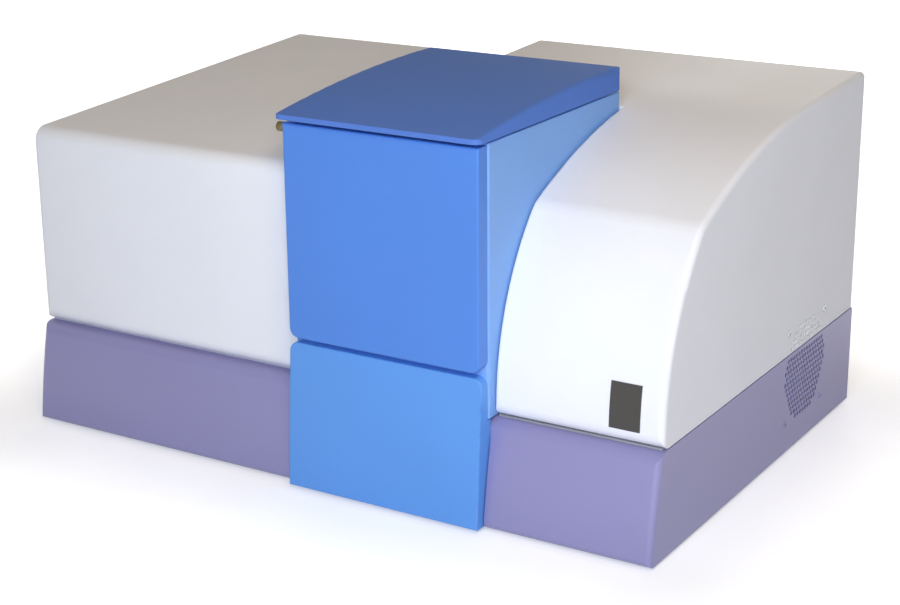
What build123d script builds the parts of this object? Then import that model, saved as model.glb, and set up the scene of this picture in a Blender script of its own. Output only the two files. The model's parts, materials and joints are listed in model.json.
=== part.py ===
from build123d import *
import math
import os

# Benchtop fluorometer. Millimetres. X to the right, Y to the back, Z up.
# Pieces are drawn with y = 0 at the front edge of the base and z = 0 at its underside,
# and place() moves them to the part's own frame: the middle of the footprint, on the table.

# ------------------------------------------------------------------ overall size
WIDTH = 618.0            # across the two end faces
DEPTH = 435.0            # lip of the lid to the tips of the rear sockets
HEIGHT = 336.0           # table to the crown of the lid
FOOT_HEIGHT = 3.0
LIP_OVERHANG = 9.0       # lid lip in front of the base's front edge
REAR_FITTINGS = 4.4      # rear sockets behind the back wall
HALF = WIDTH / 2
BACK = DEPTH - LIP_OVERHANG - REAR_FITTINGS
WALL = 3.0               # every moulded shell

# ------------------------------------------------------------------ base tray
BASE_TOP = 89.0
BASE_LEAN = 15.4         # how far the front face lies back at the top edge
BASE_BULGE = 1.3         # belly of the front face
BASE_TOP_ROUND = 12.0
BASE_TOE_ROUND = 5.0
BASE_EDGE_ROUND = 5.0
RIM_WIDTH = 9.0          # inward flange that carries the covers
SEAM_GAP = 1.4           # filled by the seam gasket
COVER_Z = BASE_TOP + SEAM_GAP
GASKET_INSET = 1.0

# ------------------------------------------------------------------ centre tower and panels
LID_RISE = 20.0          # crown of the lid above its underside
LID_GAP = 2.0            # lid above the tower, closed by the light seal
LID_Z = HEIGHT - FOOT_HEIGHT - LID_RISE
TOWER_LEFT = -21.0
TOWER_WIDTH = 184.0
TOWER_RIGHT = TOWER_LEFT + TOWER_WIDTH
TOWER_FRONT = 9.0
TOWER_DEPTH = 219.0
TOWER_REAR = TOWER_FRONT + TOWER_DEPTH
TOWER_TOP = LID_Z - LID_GAP
TOWER_EDGE_ROUND = 2.5
LEG_X = 7.0
LEG_Y = 12.0
FIT_GAP = 0.75           # between the tower and the covers
PANEL_INSET = 3.0        # left edge of the panel inside the tower's flank
PANEL_INSET_RIGHT = 1.0
PANEL_LEFT = TOWER_LEFT + PANEL_INSET
PANEL_RIGHT = TOWER_RIGHT - PANEL_INSET_RIGHT
PANEL_FACE_Y = -4.0
PANEL_BOTTOM = 131.0
PANEL_DROP = 1.6         # top edge of the panel below the tower's top
PANEL_TOP = TOWER_TOP - PANEL_DROP
PANEL_SHELL = 2.5
PANEL_CORNER = 8.0
APRON_LEFT = TOWER_LEFT
APRON_RIGHT = PANEL_RIGHT
APRON_TOP = 125.6
APRON_TOP_Y = 0.4
APRON_TOE_Y = -8.6
APRON_BULGE = 0.8
APRON_BOTTOM = 1.0
APRON_REACH = 2.0        # its face is drawn this far past both ends, then cut
APRON_BACK = 13.5        # rear edge of the apron's returns
APRON_CLEAR = 1.2        # apron to the sides of the recess in the base
PANEL_STUD_R = 3.0
PANEL_STUD_INSET = 26.0
PAD_R = 4.0              # rubber pad on the panel's left flank
PAD_REACH = 8.0
PAD_DROP = 4.5           # middle of the pad below the panel's top

# ------------------------------------------------------------------ covers
LEFT_FACE_Y = 18.9
LEFT_SHOULDER_Z = TOWER_TOP - 42.0  # where the front face and the top slope would meet
LEFT_REAR_Z = TOWER_TOP - 20.0
LEFT_SHOULDER_ROUND = 13.0
COVER_TOE_ROUND = 11.0
COVER_REAR_ROUND = 6.0
COVER_EDGE_ROUND = 5.0
COVER_INNER_ROUND = 3.0
RIGHT_FACE_Y = 17.2
BROW_TOP = TOWER_TOP - 65.6
BROW_SWEEP = 42.65
BROW_RISE = BROW_TOP - COVER_Z - COVER_TOE_ROUND
BROW = (BROW_RISE / math.sin(math.radians(BROW_SWEEP)), BROW_SWEEP)  # the rising front
SHOULDER = (30.7, 21.8)  # radius and sweep of the shoulder
CROWN = (528.3, 23.0)    # radius and sweep of the top
ANNEX_LEFT = TOWER_LEFT + 1.5       # right cover's arm behind the tower
LUG_Z = COVER_Z + 10.0   # cover screws
LUG_WIDTH = 18.0
LUG_THICK = 4.0
LUG_GAP = 0.2

# ------------------------------------------------------------------ fan and its grille
FAN_SIZE = 92.0
FAN_DEPTH = 25.0
FAN_HOLE_PITCH = 82.5
FAN_Y = BACK - 115.6
FAN_Z = 68.3
FAN_BORE_R = 43.0
FAN_STRUTS = 4
FAN_BLADES = 7
FAN_HUB_R = 17.0
FAN_TIP_GAP = 1.5
FAN_BAY = 4.0            # bench to the fan frame
GRILLE_R = 46.0
GRILLE_PITCH = 5.9
GRILLE_HOLE = 4.2        # across the flats of each hexagon
GRILLE_LAND = 2.0        # solid band along the seam
SCREW_R = 2.0
SCREW_HEAD_R = 3.6
SCREW_CLEAR = 0.15

# ------------------------------------------------------------------ lid
LID_SIDE_OVERHANG = 2.2
LID_REAR = TOWER_REAR - 1.0
LID_CREST_Y = LID_REAR - 22.0
LID_ARC_R = 1450.0
LID_SIDE_ROUND = 3.5
LID_PLAN_ROUND = 7.0
LID_REAR_ROUND = 6.0
LID_CAVITY_Y = 34.0
LINER_THICK = 2.0
LINER_CLEAR = 0.2
SEAL_WIDTH = 4.0
SEAL_GAP = 0.5           # seal to the flange of the well
SEAL_SQUEEZE = 0.3       # left between the seal and the lid
HINGE_INSET = 39.0
HINGE_XS = (TOWER_LEFT + HINGE_INSET, TOWER_RIGHT - HINGE_INSET)
HINGE_LENGTH = 40.0
HINGE_BARREL_R = 3.0
HINGE_PIN_R = 1.5
HINGE_RUN = 0.05
HINGE_LEAF = 1.2
HINGE_GAP = 0.4          # between knuckles
HINGE_Z = LID_Z - 1.5

# ------------------------------------------------------------------ sample compartment
BEAM_Z = 145.0
SAMPLE_X = (TOWER_LEFT + TOWER_RIGHT) / 2
SAMPLE_Y = 110.0
WELL_SIDE = 11.0         # tower's flank to the well
WELL_WIDTH = TOWER_WIDTH - 2 * WELL_SIDE
WELL_FRONT = TOWER_FRONT + 16.0
WELL_REAR = TOWER_REAR - 38.0
WELL_FLOOR = 95.0
WELL_FLANGE = 3.5
WELL_FLANGE_THICK = 1.5
CUVETTE_SIDE = 12.5
CUVETTE_HEIGHT = 45.0
CUVETTE_WALL = 1.25
CUVETTE_BEAM = 15.0      # beam above the cuvette's foot
CUVETTE_CLEAR = 0.1
HOLDER_SIDE = 34.0
HOLDER_WINDOW_R = 5.0
HOLDER_GRIP = 30.0       # depth of the socket
PEDESTAL_R = 30.0
TUBE_R = 13.0
TUBE_WALL = 2.0
TUBE_CLEAR = 0.2
TUBE_COLLAR_R = 17.0
TUBE_COLLAR = 3.0
LENS_EDGE = 2.0
LENS_SAG = 2.6

# ------------------------------------------------------------------ optical bench
BENCH_Z = 40.0
BENCH_THICK = 8.0
BENCH_TOP = BENCH_Z + BENCH_THICK
BENCH_INSET = 8.0        # to the inside of the base's side walls
BENCH_FRONT = 30.0
BENCH_REAR_GAP = 45.6    # to the back wall, room for the rear sockets
BENCH_REAR = BACK - BENCH_REAR_GAP
POST_R = 7.0
BENCH_SCREW = 18.0
CASE_WALL = 5.0
CASE_LID = 3.0
CASE_ROUND = 4.0
CASE_SCREW_INSET = 9.0
BEAM_PORT_R = 8.0
SHAFT_R = 2.5
SHAFT_RUN = 0.05

LAMP_LEFT = -HALF + 18.0
LAMP_RIGHT = LAMP_LEFT + 77.0
LAMP_FRONT = 196.0
LAMP_REAR = 286.0
LAMP_TOP = 205.0
LAMP_WALL = 4.0
LAMP_FIN_REACH = 14.0
LAMP_FINS = 7
LAMP_PORT_R = 14.0
LAMP_CAP_R = 8.0
BULB_R = 12.0
REFLECTOR_R = 30.0
REFLECTOR_THICK = 8.0
BALLAST_FRONT = 58.0
BALLAST_REAR = 178.0
BALLAST_HEIGHT = 70.0
BALLAST_RIB = 6.0
BALLAST_RIBS = 7

WHEEL_X = TOWER_LEFT - 20.0
SHUTTER_X = WHEEL_X - 25.0
SHUTTER_PIVOT_Y = SAMPLE_Y + 29.0
SHUTTER_THICK = 1.0

MONO_LEFT = LAMP_RIGHT + 9.0
MONO_RIGHT = SHUTTER_X - 6.0
MONO_FRONT = 60.0
MONO_REAR = 290.0
MONO_TOP = 178.0
LAMP_BEAM_Y = 240.0
GRATING_PLACES = ((MONO_LEFT + 40.0, 200.0), (MONO_RIGHT - 40.0, 156.0))
GRATING_HEADINGS = (25.0, -35.0)
TABLE_R = 20.0
MIRROR_R = 20.0
MIRROR_THICK = 8.0
MIRROR_CURVE = 150.0
MIRROR_DISH = 2.2
MIRROR_PLACES = (
    (MONO_RIGHT - 20.0, 258.0, 200.0),
    (MONO_RIGHT - 20.0, 205.0, 170.0),
    (MONO_LEFT + 19.0, 145.0, 20.0),
    (MONO_LEFT + 19.0, 100.0, -5.0),
)
MOTOR_SIDE = 42.0
MOTOR_LENGTH = 34.0

WHEEL_R = 36.0
WHEEL_THICK = 3.0
WHEEL_DROP = 25.0        # wheel centre below the beam
FILTER_COUNT = 6
FILTER_R = 9.0

SPEC_LEFT = TOWER_LEFT + 21.0
SPEC_RIGHT = SPEC_LEFT + 150.0
SPEC_FRONT = TOWER_REAR + 12.0
SPEC_REAR = BENCH_REAR - 4.0
SPEC_TOP = 190.0
SPEC_GRATING_R = 30.0
SPEC_GRATING_THICK = 12.0
SPEC_MOUNT = 14.0        # grating to the rear wall of its case
CCD_Y = SPEC_FRONT + 45.0
CCD_SIDE = 56.0
CCD_DEPTH = 30.0
CCD_NOSE_W = 32.0
CCD_NOSE_H = 16.0
CCD_FIN = 18.0
CCD_FINS = 7

DETECTOR_DEPTH = 24.0
DETECTOR_X = TOWER_RIGHT + FIT_GAP + WALL + 10.0
PSU_LEFT = DETECTOR_X + DETECTOR_DEPTH + 5.25
PSU_RIGHT = HALF - 19.0
PSU_FRONT = 58.0
PSU_REAR = FAN_Y - FAN_SIZE / 2 - 20.0
PSU_TOP = 108.0
PSU_SLOTS = 11
PSU_SLOT_INSET = 14.0
BOARD_GAP = 10.0
BOARD_THICK = 1.6
BOARD_PARTS = (          # place and size as shares of the board, then height
    (0.35, 0.24, 0.32, 0.16, 2.5),
    (0.76, 0.26, 0.22, 0.11, 2.0),
    (0.32, 0.53, 0.22, 0.11, 2.0),
    (0.22, 0.83, 0.11, 0.31, 9.0),
    (0.81, 0.54, 0.11, 0.27, 8.0),
)

# ------------------------------------------------------------------ rear sockets
IO_RIGHT = HALF - 17.0
IO_LEFT = IO_RIGHT - 124.0
IO_BOTTOM = 10.0
IO_TOP = 36.0
IO_LAP = 4.0             # plate behind the edge of its window
IO_THICK = 2.0
IO_Z = (IO_BOTTOM + IO_TOP) / 2
INLET_X = IO_RIGHT - 26.0
INLET_W = 46.0
INLET_H = 24.0
ROCKER_X = IO_RIGHT - 68.0
ROCKER_W = 20.0
ROCKER_H = 24.0
ROCKER_TILT = 9.0
USB_X = IO_RIGHT - 92.0
JACK_XS = (IO_RIGHT - 116.0, IO_RIGHT - 106.0)
JACK_R = 3.2

FOOT_R = 14.0
FOOT_INSET = 40.0
VENT_SLOT = 4.0
VENT_LENGTH = 46.0
VENT_PITCH = 9.0
VENT_COUNT = 8
PASS_SIDE = 30.0         # openings in the covers' inner walls for the light paths
PASS_WHEEL = 57.0        # wider where the filter wheel and the shutter stand


# ================================================================== helpers
def block(x0, x1, y0, y1, z0, z1):
    """Box between two corners."""
    centre = Pos((x0 + x1) / 2, (y0 + y1) / 2, (z0 + z1) / 2)
    return centre * Box(x1 - x0, y1 - y0, z1 - z0)


def rod_x(x0, x1, y, z, radius):
    return Pos((x0 + x1) / 2, y, z) * Rot(0, 90, 0) * Cylinder(radius, x1 - x0)


def rod_y(y0, y1, x, z, radius):
    return Pos(x, (y0 + y1) / 2, z) * Rot(90, 0, 0) * Cylinder(radius, y1 - y0)


def rod_z(z0, z1, x, y, radius):
    return Pos(x, y, (z0 + z1) / 2) * Cylinder(radius, z1 - z0)


def along_x(face, x0, x1):
    """Extrude a side profile, drawn as (y, z), from x0 to x1."""
    return extrude(Plane.YZ.offset(x0) * face, amount=x1 - x0)


def closed_face(*edges):
    return make_face(Curve() + list(edges))


def polygon(*points):
    return make_face(Polyline(*points, close=True))


def window(y0, y1, z0, z1):
    """Rectangle in a side profile."""
    return Pos((y0 + y1) / 2, (z0 + z1) / 2) * Rectangle(y1 - y0, z1 - z0)


def shave(solid, profile, area):
    """Cut away what lies outside a side profile, inside a window of it."""
    return solid - along_x(area - profile, -HALF - 1, HALF + 1)


def place(piece):
    """Move a piece from the drawing frame to the part's own frame."""
    return Pos(0, LIP_OVERHANG - DEPTH / 2, FOOT_HEIGHT) * piece


def round_corner(profile, y, z, radius):
    """Round the corner of a profile that lies nearest to (y, z)."""
    corner = profile.vertices().sort_by_distance((y, z, 0))[0]
    return fillet(corner, radius)


# ================================================================== base
def base_profile():
    """Side of the base, still sharp: leaning, slightly bellied front and a square back."""
    mid = (BASE_LEAN / 2 - BASE_BULGE, BASE_TOP / 2)
    return closed_face(
        ThreePointArc((0, 0), mid, (BASE_LEAN, BASE_TOP)),
        Line((BASE_LEAN, BASE_TOP), (BACK, BASE_TOP)),
        Line((BACK, BASE_TOP), (BACK, 0)),
        Line((BACK, 0), (0, 0)),
    )


def rounded_base_profile():
    rounded = round_corner(base_profile(), BASE_LEAN, BASE_TOP, BASE_TOP_ROUND)
    return round_corner(rounded, 0, 0, BASE_TOE_ROUND)


def base_form():
    """Solid outside form of the base with its roundings."""
    sharp = base_profile()
    solid = along_x(sharp, -HALF, HALF)
    corners = [
        edge
        for edge in solid.edges()
        if edge.center().Y < BASE_LEAN and abs(edge.center().X) > HALF - 0.01
    ]
    solid = fillet(corners, BASE_EDGE_ROUND)
    rounded = rounded_base_profile()
    top = window(-1, BASE_LEAN + BASE_TOP_ROUND, BASE_TOP - BASE_TOP_ROUND, BASE_TOP + 1)
    solid = shave(solid, rounded, top)
    return shave(solid, rounded, window(-1, 2 * BASE_TOE_ROUND, -1, 2 * BASE_TOE_ROUND))


def base_cavity():
    """Inside of the tray, with the mouth left by the rim."""
    inner = offset(rounded_base_profile(), amount=-WALL)
    cavity = along_x(inner, WALL - HALF, HALF - WALL)
    lip = BASE_LEAN + BASE_TOP_ROUND + RIM_WIDTH
    rim = HALF - WALL - RIM_WIDTH
    mouth = block(-rim, rim, lip, BACK - WALL - RIM_WIDTH, BASE_TOP - 2 * WALL, BASE_TOP + 1)
    return cavity + mouth


def apron_recess(grow):
    """Recess in the base's front that the apron panel closes."""
    side = APRON_CLEAR + grow
    back = APRON_BACK + grow
    return block(APRON_LEFT - side, APRON_RIGHT + side, -20, back, -1, BASE_TOP + 1)


def grille_holes():
    """Round field of hexagonal holes for the fan, with a solid band at the seam."""
    row_pitch = GRILLE_PITCH * math.sqrt(3) / 2
    rows = int(GRILLE_R / row_pitch)
    columns = int(GRILLE_R / GRILLE_PITCH) + 1
    seam = (BASE_TOP + COVER_Z) / 2
    cell = RegularPolygon(GRILLE_HOLE / 2, 6, major_radius=False)
    cells = []
    for row in range(-rows, rows + 1):
        for column in range(-columns, columns + 1):
            y = (column + (row % 2) / 2) * GRILLE_PITCH
            z = row * row_pitch
            if math.hypot(y, z) > GRILLE_R:
                continue
            if abs(FAN_Z + z - seam) < GRILLE_HOLE / 2 + GRILLE_LAND:
                continue
            cells.append(Pos(FAN_Y + y, FAN_Z + z) * cell)
    return [along_x(face, HALF - WALL - 1, HALF + 1) for face in cells]


def fan_corners():
    """The four screw places of the fan."""
    reach = FAN_HOLE_PITCH / 2
    return [(FAN_Y + sy * reach, FAN_Z + sz * reach) for sy in (-1, 1) for sz in (-1, 1)]


def countersunk(y, z, x_tip, slack):
    """Countersunk screw from the right end face inwards."""
    head = SCREW_HEAD_R + slack
    shank = SCREW_R + slack
    depth = SCREW_HEAD_R - SCREW_R
    cone = Pos(HALF - depth / 2, y, z) * Rot(0, 90, 0) * Cone(shank, head, depth)
    return cone + rod_x(x_tip, HALF, y, z, shank)


def fan_bay():
    """Room for the fan frame in the rim of the base."""
    reach = FAN_SIZE / 2 + 1
    inner = HALF - WALL
    return block(inner - RIM_WIDTH - 1, inner, FAN_Y - reach, FAN_Y + reach, FAN_Z, BASE_TOP + 1)


def base_tray():
    tray = base_form() - apron_recess(0) - (base_cavity() - apron_recess(WALL))
    tray = tray - fan_bay()
    slack = SCREW_CLEAR
    holes = [countersunk(y, z, HALF - WALL - 1, slack) for y, z in fan_corners() if z < FAN_Z]
    io = block(IO_LEFT, IO_RIGHT, BACK - WALL - 1, BACK + 1, IO_BOTTOM, IO_TOP)
    tray = tray - (holes + [io]) + base_lugs() - lug_bores(-HALF, HALF)
    return tray - grille_holes()


def seam_gasket():
    """Pale strip between the base's rim and everything that stands on it."""
    side = HALF - GASKET_INSET
    front = BASE_LEAN + BASE_TOP_ROUND
    thick = WALL - GASKET_INSET
    back = BACK - GASKET_INSET
    ring = block(-side, side, front, back, BASE_TOP, COVER_Z)
    return ring - block(
        thick - side, side - thick, front + thick, back - thick, BASE_TOP - 1, COVER_Z + 1
    )


def feet():
    """Four rubber feet with a chamfered tread."""
    foot = rod_z(-FOOT_HEIGHT, 0, 0, 0, FOOT_R)
    foot = chamfer(foot.edges().sort_by(Axis.Z)[0], 1.0)
    side = HALF - FOOT_INSET
    ys = (FOOT_INSET, BACK - FOOT_INSET)
    return [Pos(x, y, 0) * foot for x in (-side, side) for y in ys]


# ================================================================== covers
def left_profile():
    """Side of the left cover: upright face, soft shoulder, gently rising top."""
    face = polygon(
        (LEFT_FACE_Y, COVER_Z), (LEFT_FACE_Y, LEFT_SHOULDER_Z), (BACK, LEFT_REAR_Z), (BACK, COVER_Z)
    )
    face = round_corner(face, LEFT_FACE_Y, LEFT_SHOULDER_Z, LEFT_SHOULDER_ROUND)
    return round_corner(face, BACK, LEFT_REAR_Z, COVER_REAR_ROUND)


def swing(point, heading, radius, sweep):
    """Arc that turns from a heading measured back from upright; returns arc, end, heading."""
    y, z = point

    def at(turn):
        angle = math.radians(heading + turn)
        start = math.radians(heading)
        return (
            y + radius * (math.cos(start) - math.cos(angle)),
            z + radius * (math.sin(angle) - math.sin(start)),
        )

    end = at(sweep)
    return ThreePointArc(point, at(sweep / 2), end), end, heading + sweep


def right_profile(inset=0.0, toe=True):
    """Side of the right cover: three tangent arcs from the face to the top."""
    tangent = (RIGHT_FACE_Y + inset, COVER_Z + COVER_TOE_ROUND)
    low = COVER_Z + inset
    if toe:
        radius = COVER_TOE_ROUND - inset
        hub_y = RIGHT_FACE_Y + COVER_TOE_ROUND
        slant = radius * math.sin(math.radians(45))
        start = (hub_y, low)
        edges = [ThreePointArc(start, (hub_y - slant, tangent[1] - slant), tangent)]
    else:
        start = (tangent[0], low)
        edges = [Line(start, tangent)]
    point, heading = tangent, 0.0
    for radius, sweep in (BROW, SHOULDER, CROWN):
        arc, point, heading = swing(point, heading, radius - inset, sweep)
        edges.append(arc)
    rear = BACK - inset
    rise = (rear - point[0]) / math.tan(math.radians(heading))
    top_rear = (rear, point[1] + rise)
    edges.append(Line(point, top_rear))
    edges.append(Line(top_rear, (rear, low)))
    edges.append(Line((rear, low), start))
    return round_corner(closed_face(*edges), *top_rear, COVER_REAR_ROUND - inset)


def round_end(solid, x, y_min, radius):
    """Round a cover's front-to-back edge chain that lies in the plane x."""
    chain = [
        edge
        for edge in solid.edges()
        if abs(edge.center().X - x) < 0.01
        and edge.center().Y > y_min
        and edge.center().Z > COVER_Z + 0.5
        and max(v.Y for v in edge.vertices()) < BACK - 0.5
        and edge.bounding_box().size.X < 0.01
    ]
    return fillet(chain[:1], radius)


def toe_window(face_y):
    """Part of a side profile that holds the rounded lower front corner."""
    reach = COVER_TOE_ROUND
    return window(face_y - 1, face_y + reach, COVER_Z - 1, COVER_Z + reach)


def shell_void(inner, face_y, x0, x1):
    """Inside of a cover: its inner profile, open below behind the toe."""
    foot = window(face_y + COVER_TOE_ROUND, BACK - WALL, COVER_Z - 1, COVER_Z + WALL + 1)
    return along_x(inner + foot, x0, x1)


def vent_slots(x):
    """Row of upright slots through a cover's rear wall, level with the lamp's top."""
    slots = []
    for index in range(VENT_COUNT):
        cx = x + (index - (VENT_COUNT - 1) / 2) * VENT_PITCH
        half = VENT_SLOT / 2
        low = LAMP_TOP - VENT_LENGTH
        slot = block(cx - half, cx + half, BACK - WALL - 1, BACK + 1, low, LAMP_TOP)
        slots.append(slot)
    return slots


def left_cover():
    """Moulded shell over the lamp and the excitation optics."""
    right = TOWER_LEFT - FIT_GAP
    profile = left_profile()
    solid = along_x(profile, -HALF, right)
    solid = round_end(solid, -HALF, 0, COVER_EDGE_ROUND)
    solid = round_end(solid, right, 0, COVER_INNER_ROUND)
    profile = round_corner(profile, LEFT_FACE_Y, COVER_Z, COVER_TOE_ROUND)
    solid = shave(solid, profile, toe_window(LEFT_FACE_Y))
    inner = offset(profile, amount=-WALL)
    solid = solid - shell_void(inner, LEFT_FACE_Y, WALL - HALF, right - WALL)
    passage = block(
        right - WALL - 1,
        right + 1,
        SAMPLE_Y - PASS_WHEEL,
        SAMPLE_Y + PASS_WHEEL,
        COVER_Z - 1,
        BEAM_Z + PASS_WHEEL,
    )
    vents = vent_slots((LAMP_LEFT + LAMP_RIGHT) / 2)
    return solid - ([passage] + vents + lug_bores(-HALF, TOWER_LEFT))


def right_cover():
    """L-shaped moulded shell over electronics, fan and emission optics."""
    inner_x = TOWER_RIGHT + FIT_GAP
    annex_y = TOWER_REAR + FIT_GAP
    solid = along_x(right_profile(toe=False), ANNEX_LEFT, HALF)
    solid = solid - block(ANNEX_LEFT - 1, inner_x, 0, annex_y, 0, HEIGHT)
    solid = round_end(solid, HALF, 0, COVER_EDGE_ROUND)
    solid = round_end(solid, inner_x, 0, COVER_INNER_ROUND)
    solid = round_end(solid, ANNEX_LEFT, annex_y, COVER_INNER_ROUND)
    solid = shave(solid, right_profile(), toe_window(RIGHT_FACE_Y))
    void = shell_void(right_profile(WALL), RIGHT_FACE_Y, ANNEX_LEFT + WALL, HALF - WALL)
    void = void - block(ANNEX_LEFT - 1, inner_x + WALL, 0, annex_y + WALL, 0, HEIGHT)
    slack = SCREW_CLEAR
    holes = [countersunk(y, z, HALF - WALL - 1, slack) for y, z in fan_corners() if z > FAN_Z]
    low, high = COVER_Z - 1, BEAM_Z + PASS_SIDE
    y0, y1 = SAMPLE_Y - PASS_SIDE, SAMPLE_Y + PASS_SIDE
    side_pass = block(inner_x - 1, inner_x + WALL + 1, y0, y1, low, high)
    x0, x1 = SAMPLE_X - PASS_SIDE, SAMPLE_X + PASS_SIDE
    rear_pass = block(x0, x1, annex_y - 1, annex_y + WALL + 1, low, high)
    vents = vent_slots((PSU_LEFT + PSU_RIGHT) / 2)
    shell = solid - void - (holes + [side_pass, rear_pass] + vents + lug_bores(ANNEX_LEFT, HALF))
    return shell - grille_holes()


def lug_places():
    """Where the covers are screwed to the base's rear lugs."""
    return (-HALF + 30, TOWER_LEFT - 30, ANNEX_LEFT + 30, HALF - 30)


def lug_bores(x0, x1):
    """Screw holes through the rear wall, between two places along it."""
    radius = SCREW_R + SCREW_CLEAR
    return [rod_y(BACK - 12, BACK + 1, x, LUG_Z, radius) for x in lug_places() if x0 < x < x1]


def base_lugs():
    """Upright tongues on the base's rear rim that take the cover screws."""
    back = BACK - WALL - LUG_GAP
    lugs = []
    for x in lug_places():
        half = LUG_WIDTH / 2
        lug = block(x - half, x + half, back - LUG_THICK, back, BASE_TOP - 1, LUG_Z + half)
        crown = [e for e in lug.edges().filter_by(Axis.Y) if e.center().Z > LUG_Z]
        lugs.append(fillet(crown, half - 1))
    return lugs


def cover_screws():
    """Pan head screws through the rear walls into the lugs of the base."""
    screws = []
    for x in lug_places():
        head = rod_y(BACK, BACK + 2.2, x, LUG_Z, 3.8)
        head = fillet(head.edges().sort_by(Axis.Y)[-1], 1.2)
        screws.append(head + rod_y(BACK - 9, BACK, x, LUG_Z, SCREW_R))
    return screws


# ================================================================== tower
def tower_housing():
    """Tall centre shell with an open floor, a lid seat and three light ports."""
    left, right = TOWER_LEFT, TOWER_RIGHT
    front, rear = TOWER_FRONT, TOWER_REAR
    solid = block(left, right, front, rear, COVER_Z, TOWER_TOP)
    solid = fillet(solid.edges().filter_by(Axis.Z), TOWER_EDGE_ROUND)
    solid = fillet(solid.faces().sort_by(Axis.Z)[-1].edges(), 1.2)
    solid = solid - block(
        left + WALL, right - WALL, front + WALL, rear - WALL, COVER_Z - 1, TOWER_TOP - WALL
    )
    hole = TUBE_R + TUBE_CLEAR
    ports = [
        rod_x(left - 1, left + WALL + 1, SAMPLE_Y, BEAM_Z, hole),
        rod_x(right - WALL - 1, right + 1, SAMPLE_Y, BEAM_Z, hole),
        rod_y(rear - WALL - 1, rear + 1, SAMPLE_X, BEAM_Z, hole),
    ]
    mouth = block(
        SAMPLE_X - WELL_WIDTH / 2,
        SAMPLE_X + WELL_WIDTH / 2,
        WELL_FRONT,
        WELL_REAR,
        TOWER_TOP - WALL - 1,
        TOWER_TOP + 1,
    )
    studs = [rod_y(front - 1, front + WALL + 1, x, z, PANEL_STUD_R + 0.1) for x, z in stud_places()]
    return solid - (ports + [mouth] + studs) + tower_legs()


def tower_legs():
    """Four legs inside the shell that stand it on the bench."""
    top = TOWER_TOP - WALL
    legs = []
    for x in (TOWER_LEFT + WALL, TOWER_RIGHT - WALL - LEG_X):
        for y in (BENCH_FRONT + 10, TOWER_REAR - WALL - LEG_Y):
            legs.append(block(x, x + LEG_X, y, y + LEG_Y, BENCH_TOP, top))
    return legs


def stud_places():
    """Where the front panels snap onto the tower."""
    inset = PANEL_STUD_INSET
    xs = (PANEL_LEFT + inset, PANEL_RIGHT - inset)
    zs = (PANEL_BOTTOM + inset, PANEL_TOP - inset)
    return [(x, z) for x in xs for z in zs]


def panel_studs():
    """Snap studs between the upper panel and the tower."""
    start = PANEL_FACE_Y + PANEL_SHELL
    studs = []
    for x, z in stud_places():
        stud = rod_y(start, TOWER_FRONT + WALL + 3, x, z, PANEL_STUD_R)
        flange = rod_y(TOWER_FRONT - 2, TOWER_FRONT, x, z, PANEL_STUD_R + 2)
        tip = chamfer((stud + flange).edges().sort_by(Axis.Y)[-1], 1.0)
        studs.append(tip)
    return studs


def upper_front_panel():
    """Deep tray-shaped panel on the tower, rounded at its lower corners."""
    back = TOWER_FRONT
    solid = block(PANEL_LEFT, PANEL_RIGHT, PANEL_FACE_Y, back, PANEL_BOTTOM, PANEL_TOP)
    low = [e for e in solid.edges().filter_by(Axis.Y) if e.center().Z < PANEL_BOTTOM + 1]
    solid = fillet(low, PANEL_CORNER)
    rim = solid.faces().sort_by(Axis.Y)[0].edges()
    solid = fillet(rim, 1.6)
    lip = PANEL_SHELL
    hollow = block(
        PANEL_LEFT + lip,
        PANEL_RIGHT - lip,
        PANEL_FACE_Y + lip,
        back + 1,
        PANEL_BOTTOM + lip,
        PANEL_TOP - lip,
    )
    low = [e for e in hollow.edges().filter_by(Axis.Y) if e.center().Z < PANEL_BOTTOM + 9]
    return solid - fillet(low, PANEL_CORNER - lip)


def apron_profile(inset):
    """Side of the lower panel: its face leans forwards down to the toe."""
    middle_y = (APRON_TOP_Y + APRON_TOE_Y) / 2 - APRON_BULGE
    top, low = APRON_TOP + APRON_REACH, APRON_BOTTOM - APRON_REACH
    return closed_face(
        ThreePointArc(
            (APRON_TOP_Y + inset, top),
            (middle_y + inset, (APRON_TOP + APRON_BOTTOM) / 2),
            (APRON_TOE_Y + inset, low),
        ),
        Line((APRON_TOE_Y + inset, low), (APRON_BACK + inset, low)),
        Line((APRON_BACK + inset, low), (APRON_BACK + inset, top)),
        Line((APRON_BACK + inset, top), (APRON_TOP_Y + inset, top)),
    )


def apron_form(inset):
    """Apron as a solid, rounded at its upper corners, drawn in by an inset."""
    left, right = APRON_LEFT + inset, APRON_RIGHT - inset
    low, top = APRON_BOTTOM + inset, APRON_TOP - inset
    front = block(left, right, -30, 30, low, top)
    crown = [e for e in front.edges().filter_by(Axis.Y) if e.center().Z > top - 1]
    front = fillet(crown, PANEL_CORNER - inset)
    return along_x(apron_profile(inset), left - 1, right + 1) & front


def lower_front_panel():
    """Apron that closes the front of the base below the upper panel."""
    solid = apron_form(0)
    solid = fillet(solid.faces().sort_by(Axis.Y)[0].edges(), 1.4)
    solid = solid - apron_form(PANEL_SHELL)
    above = block(APRON_LEFT - 1, APRON_RIGHT + 1, TOWER_FRONT, 20, BASE_TOP, APRON_TOP + 1)
    return solid - above


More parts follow.
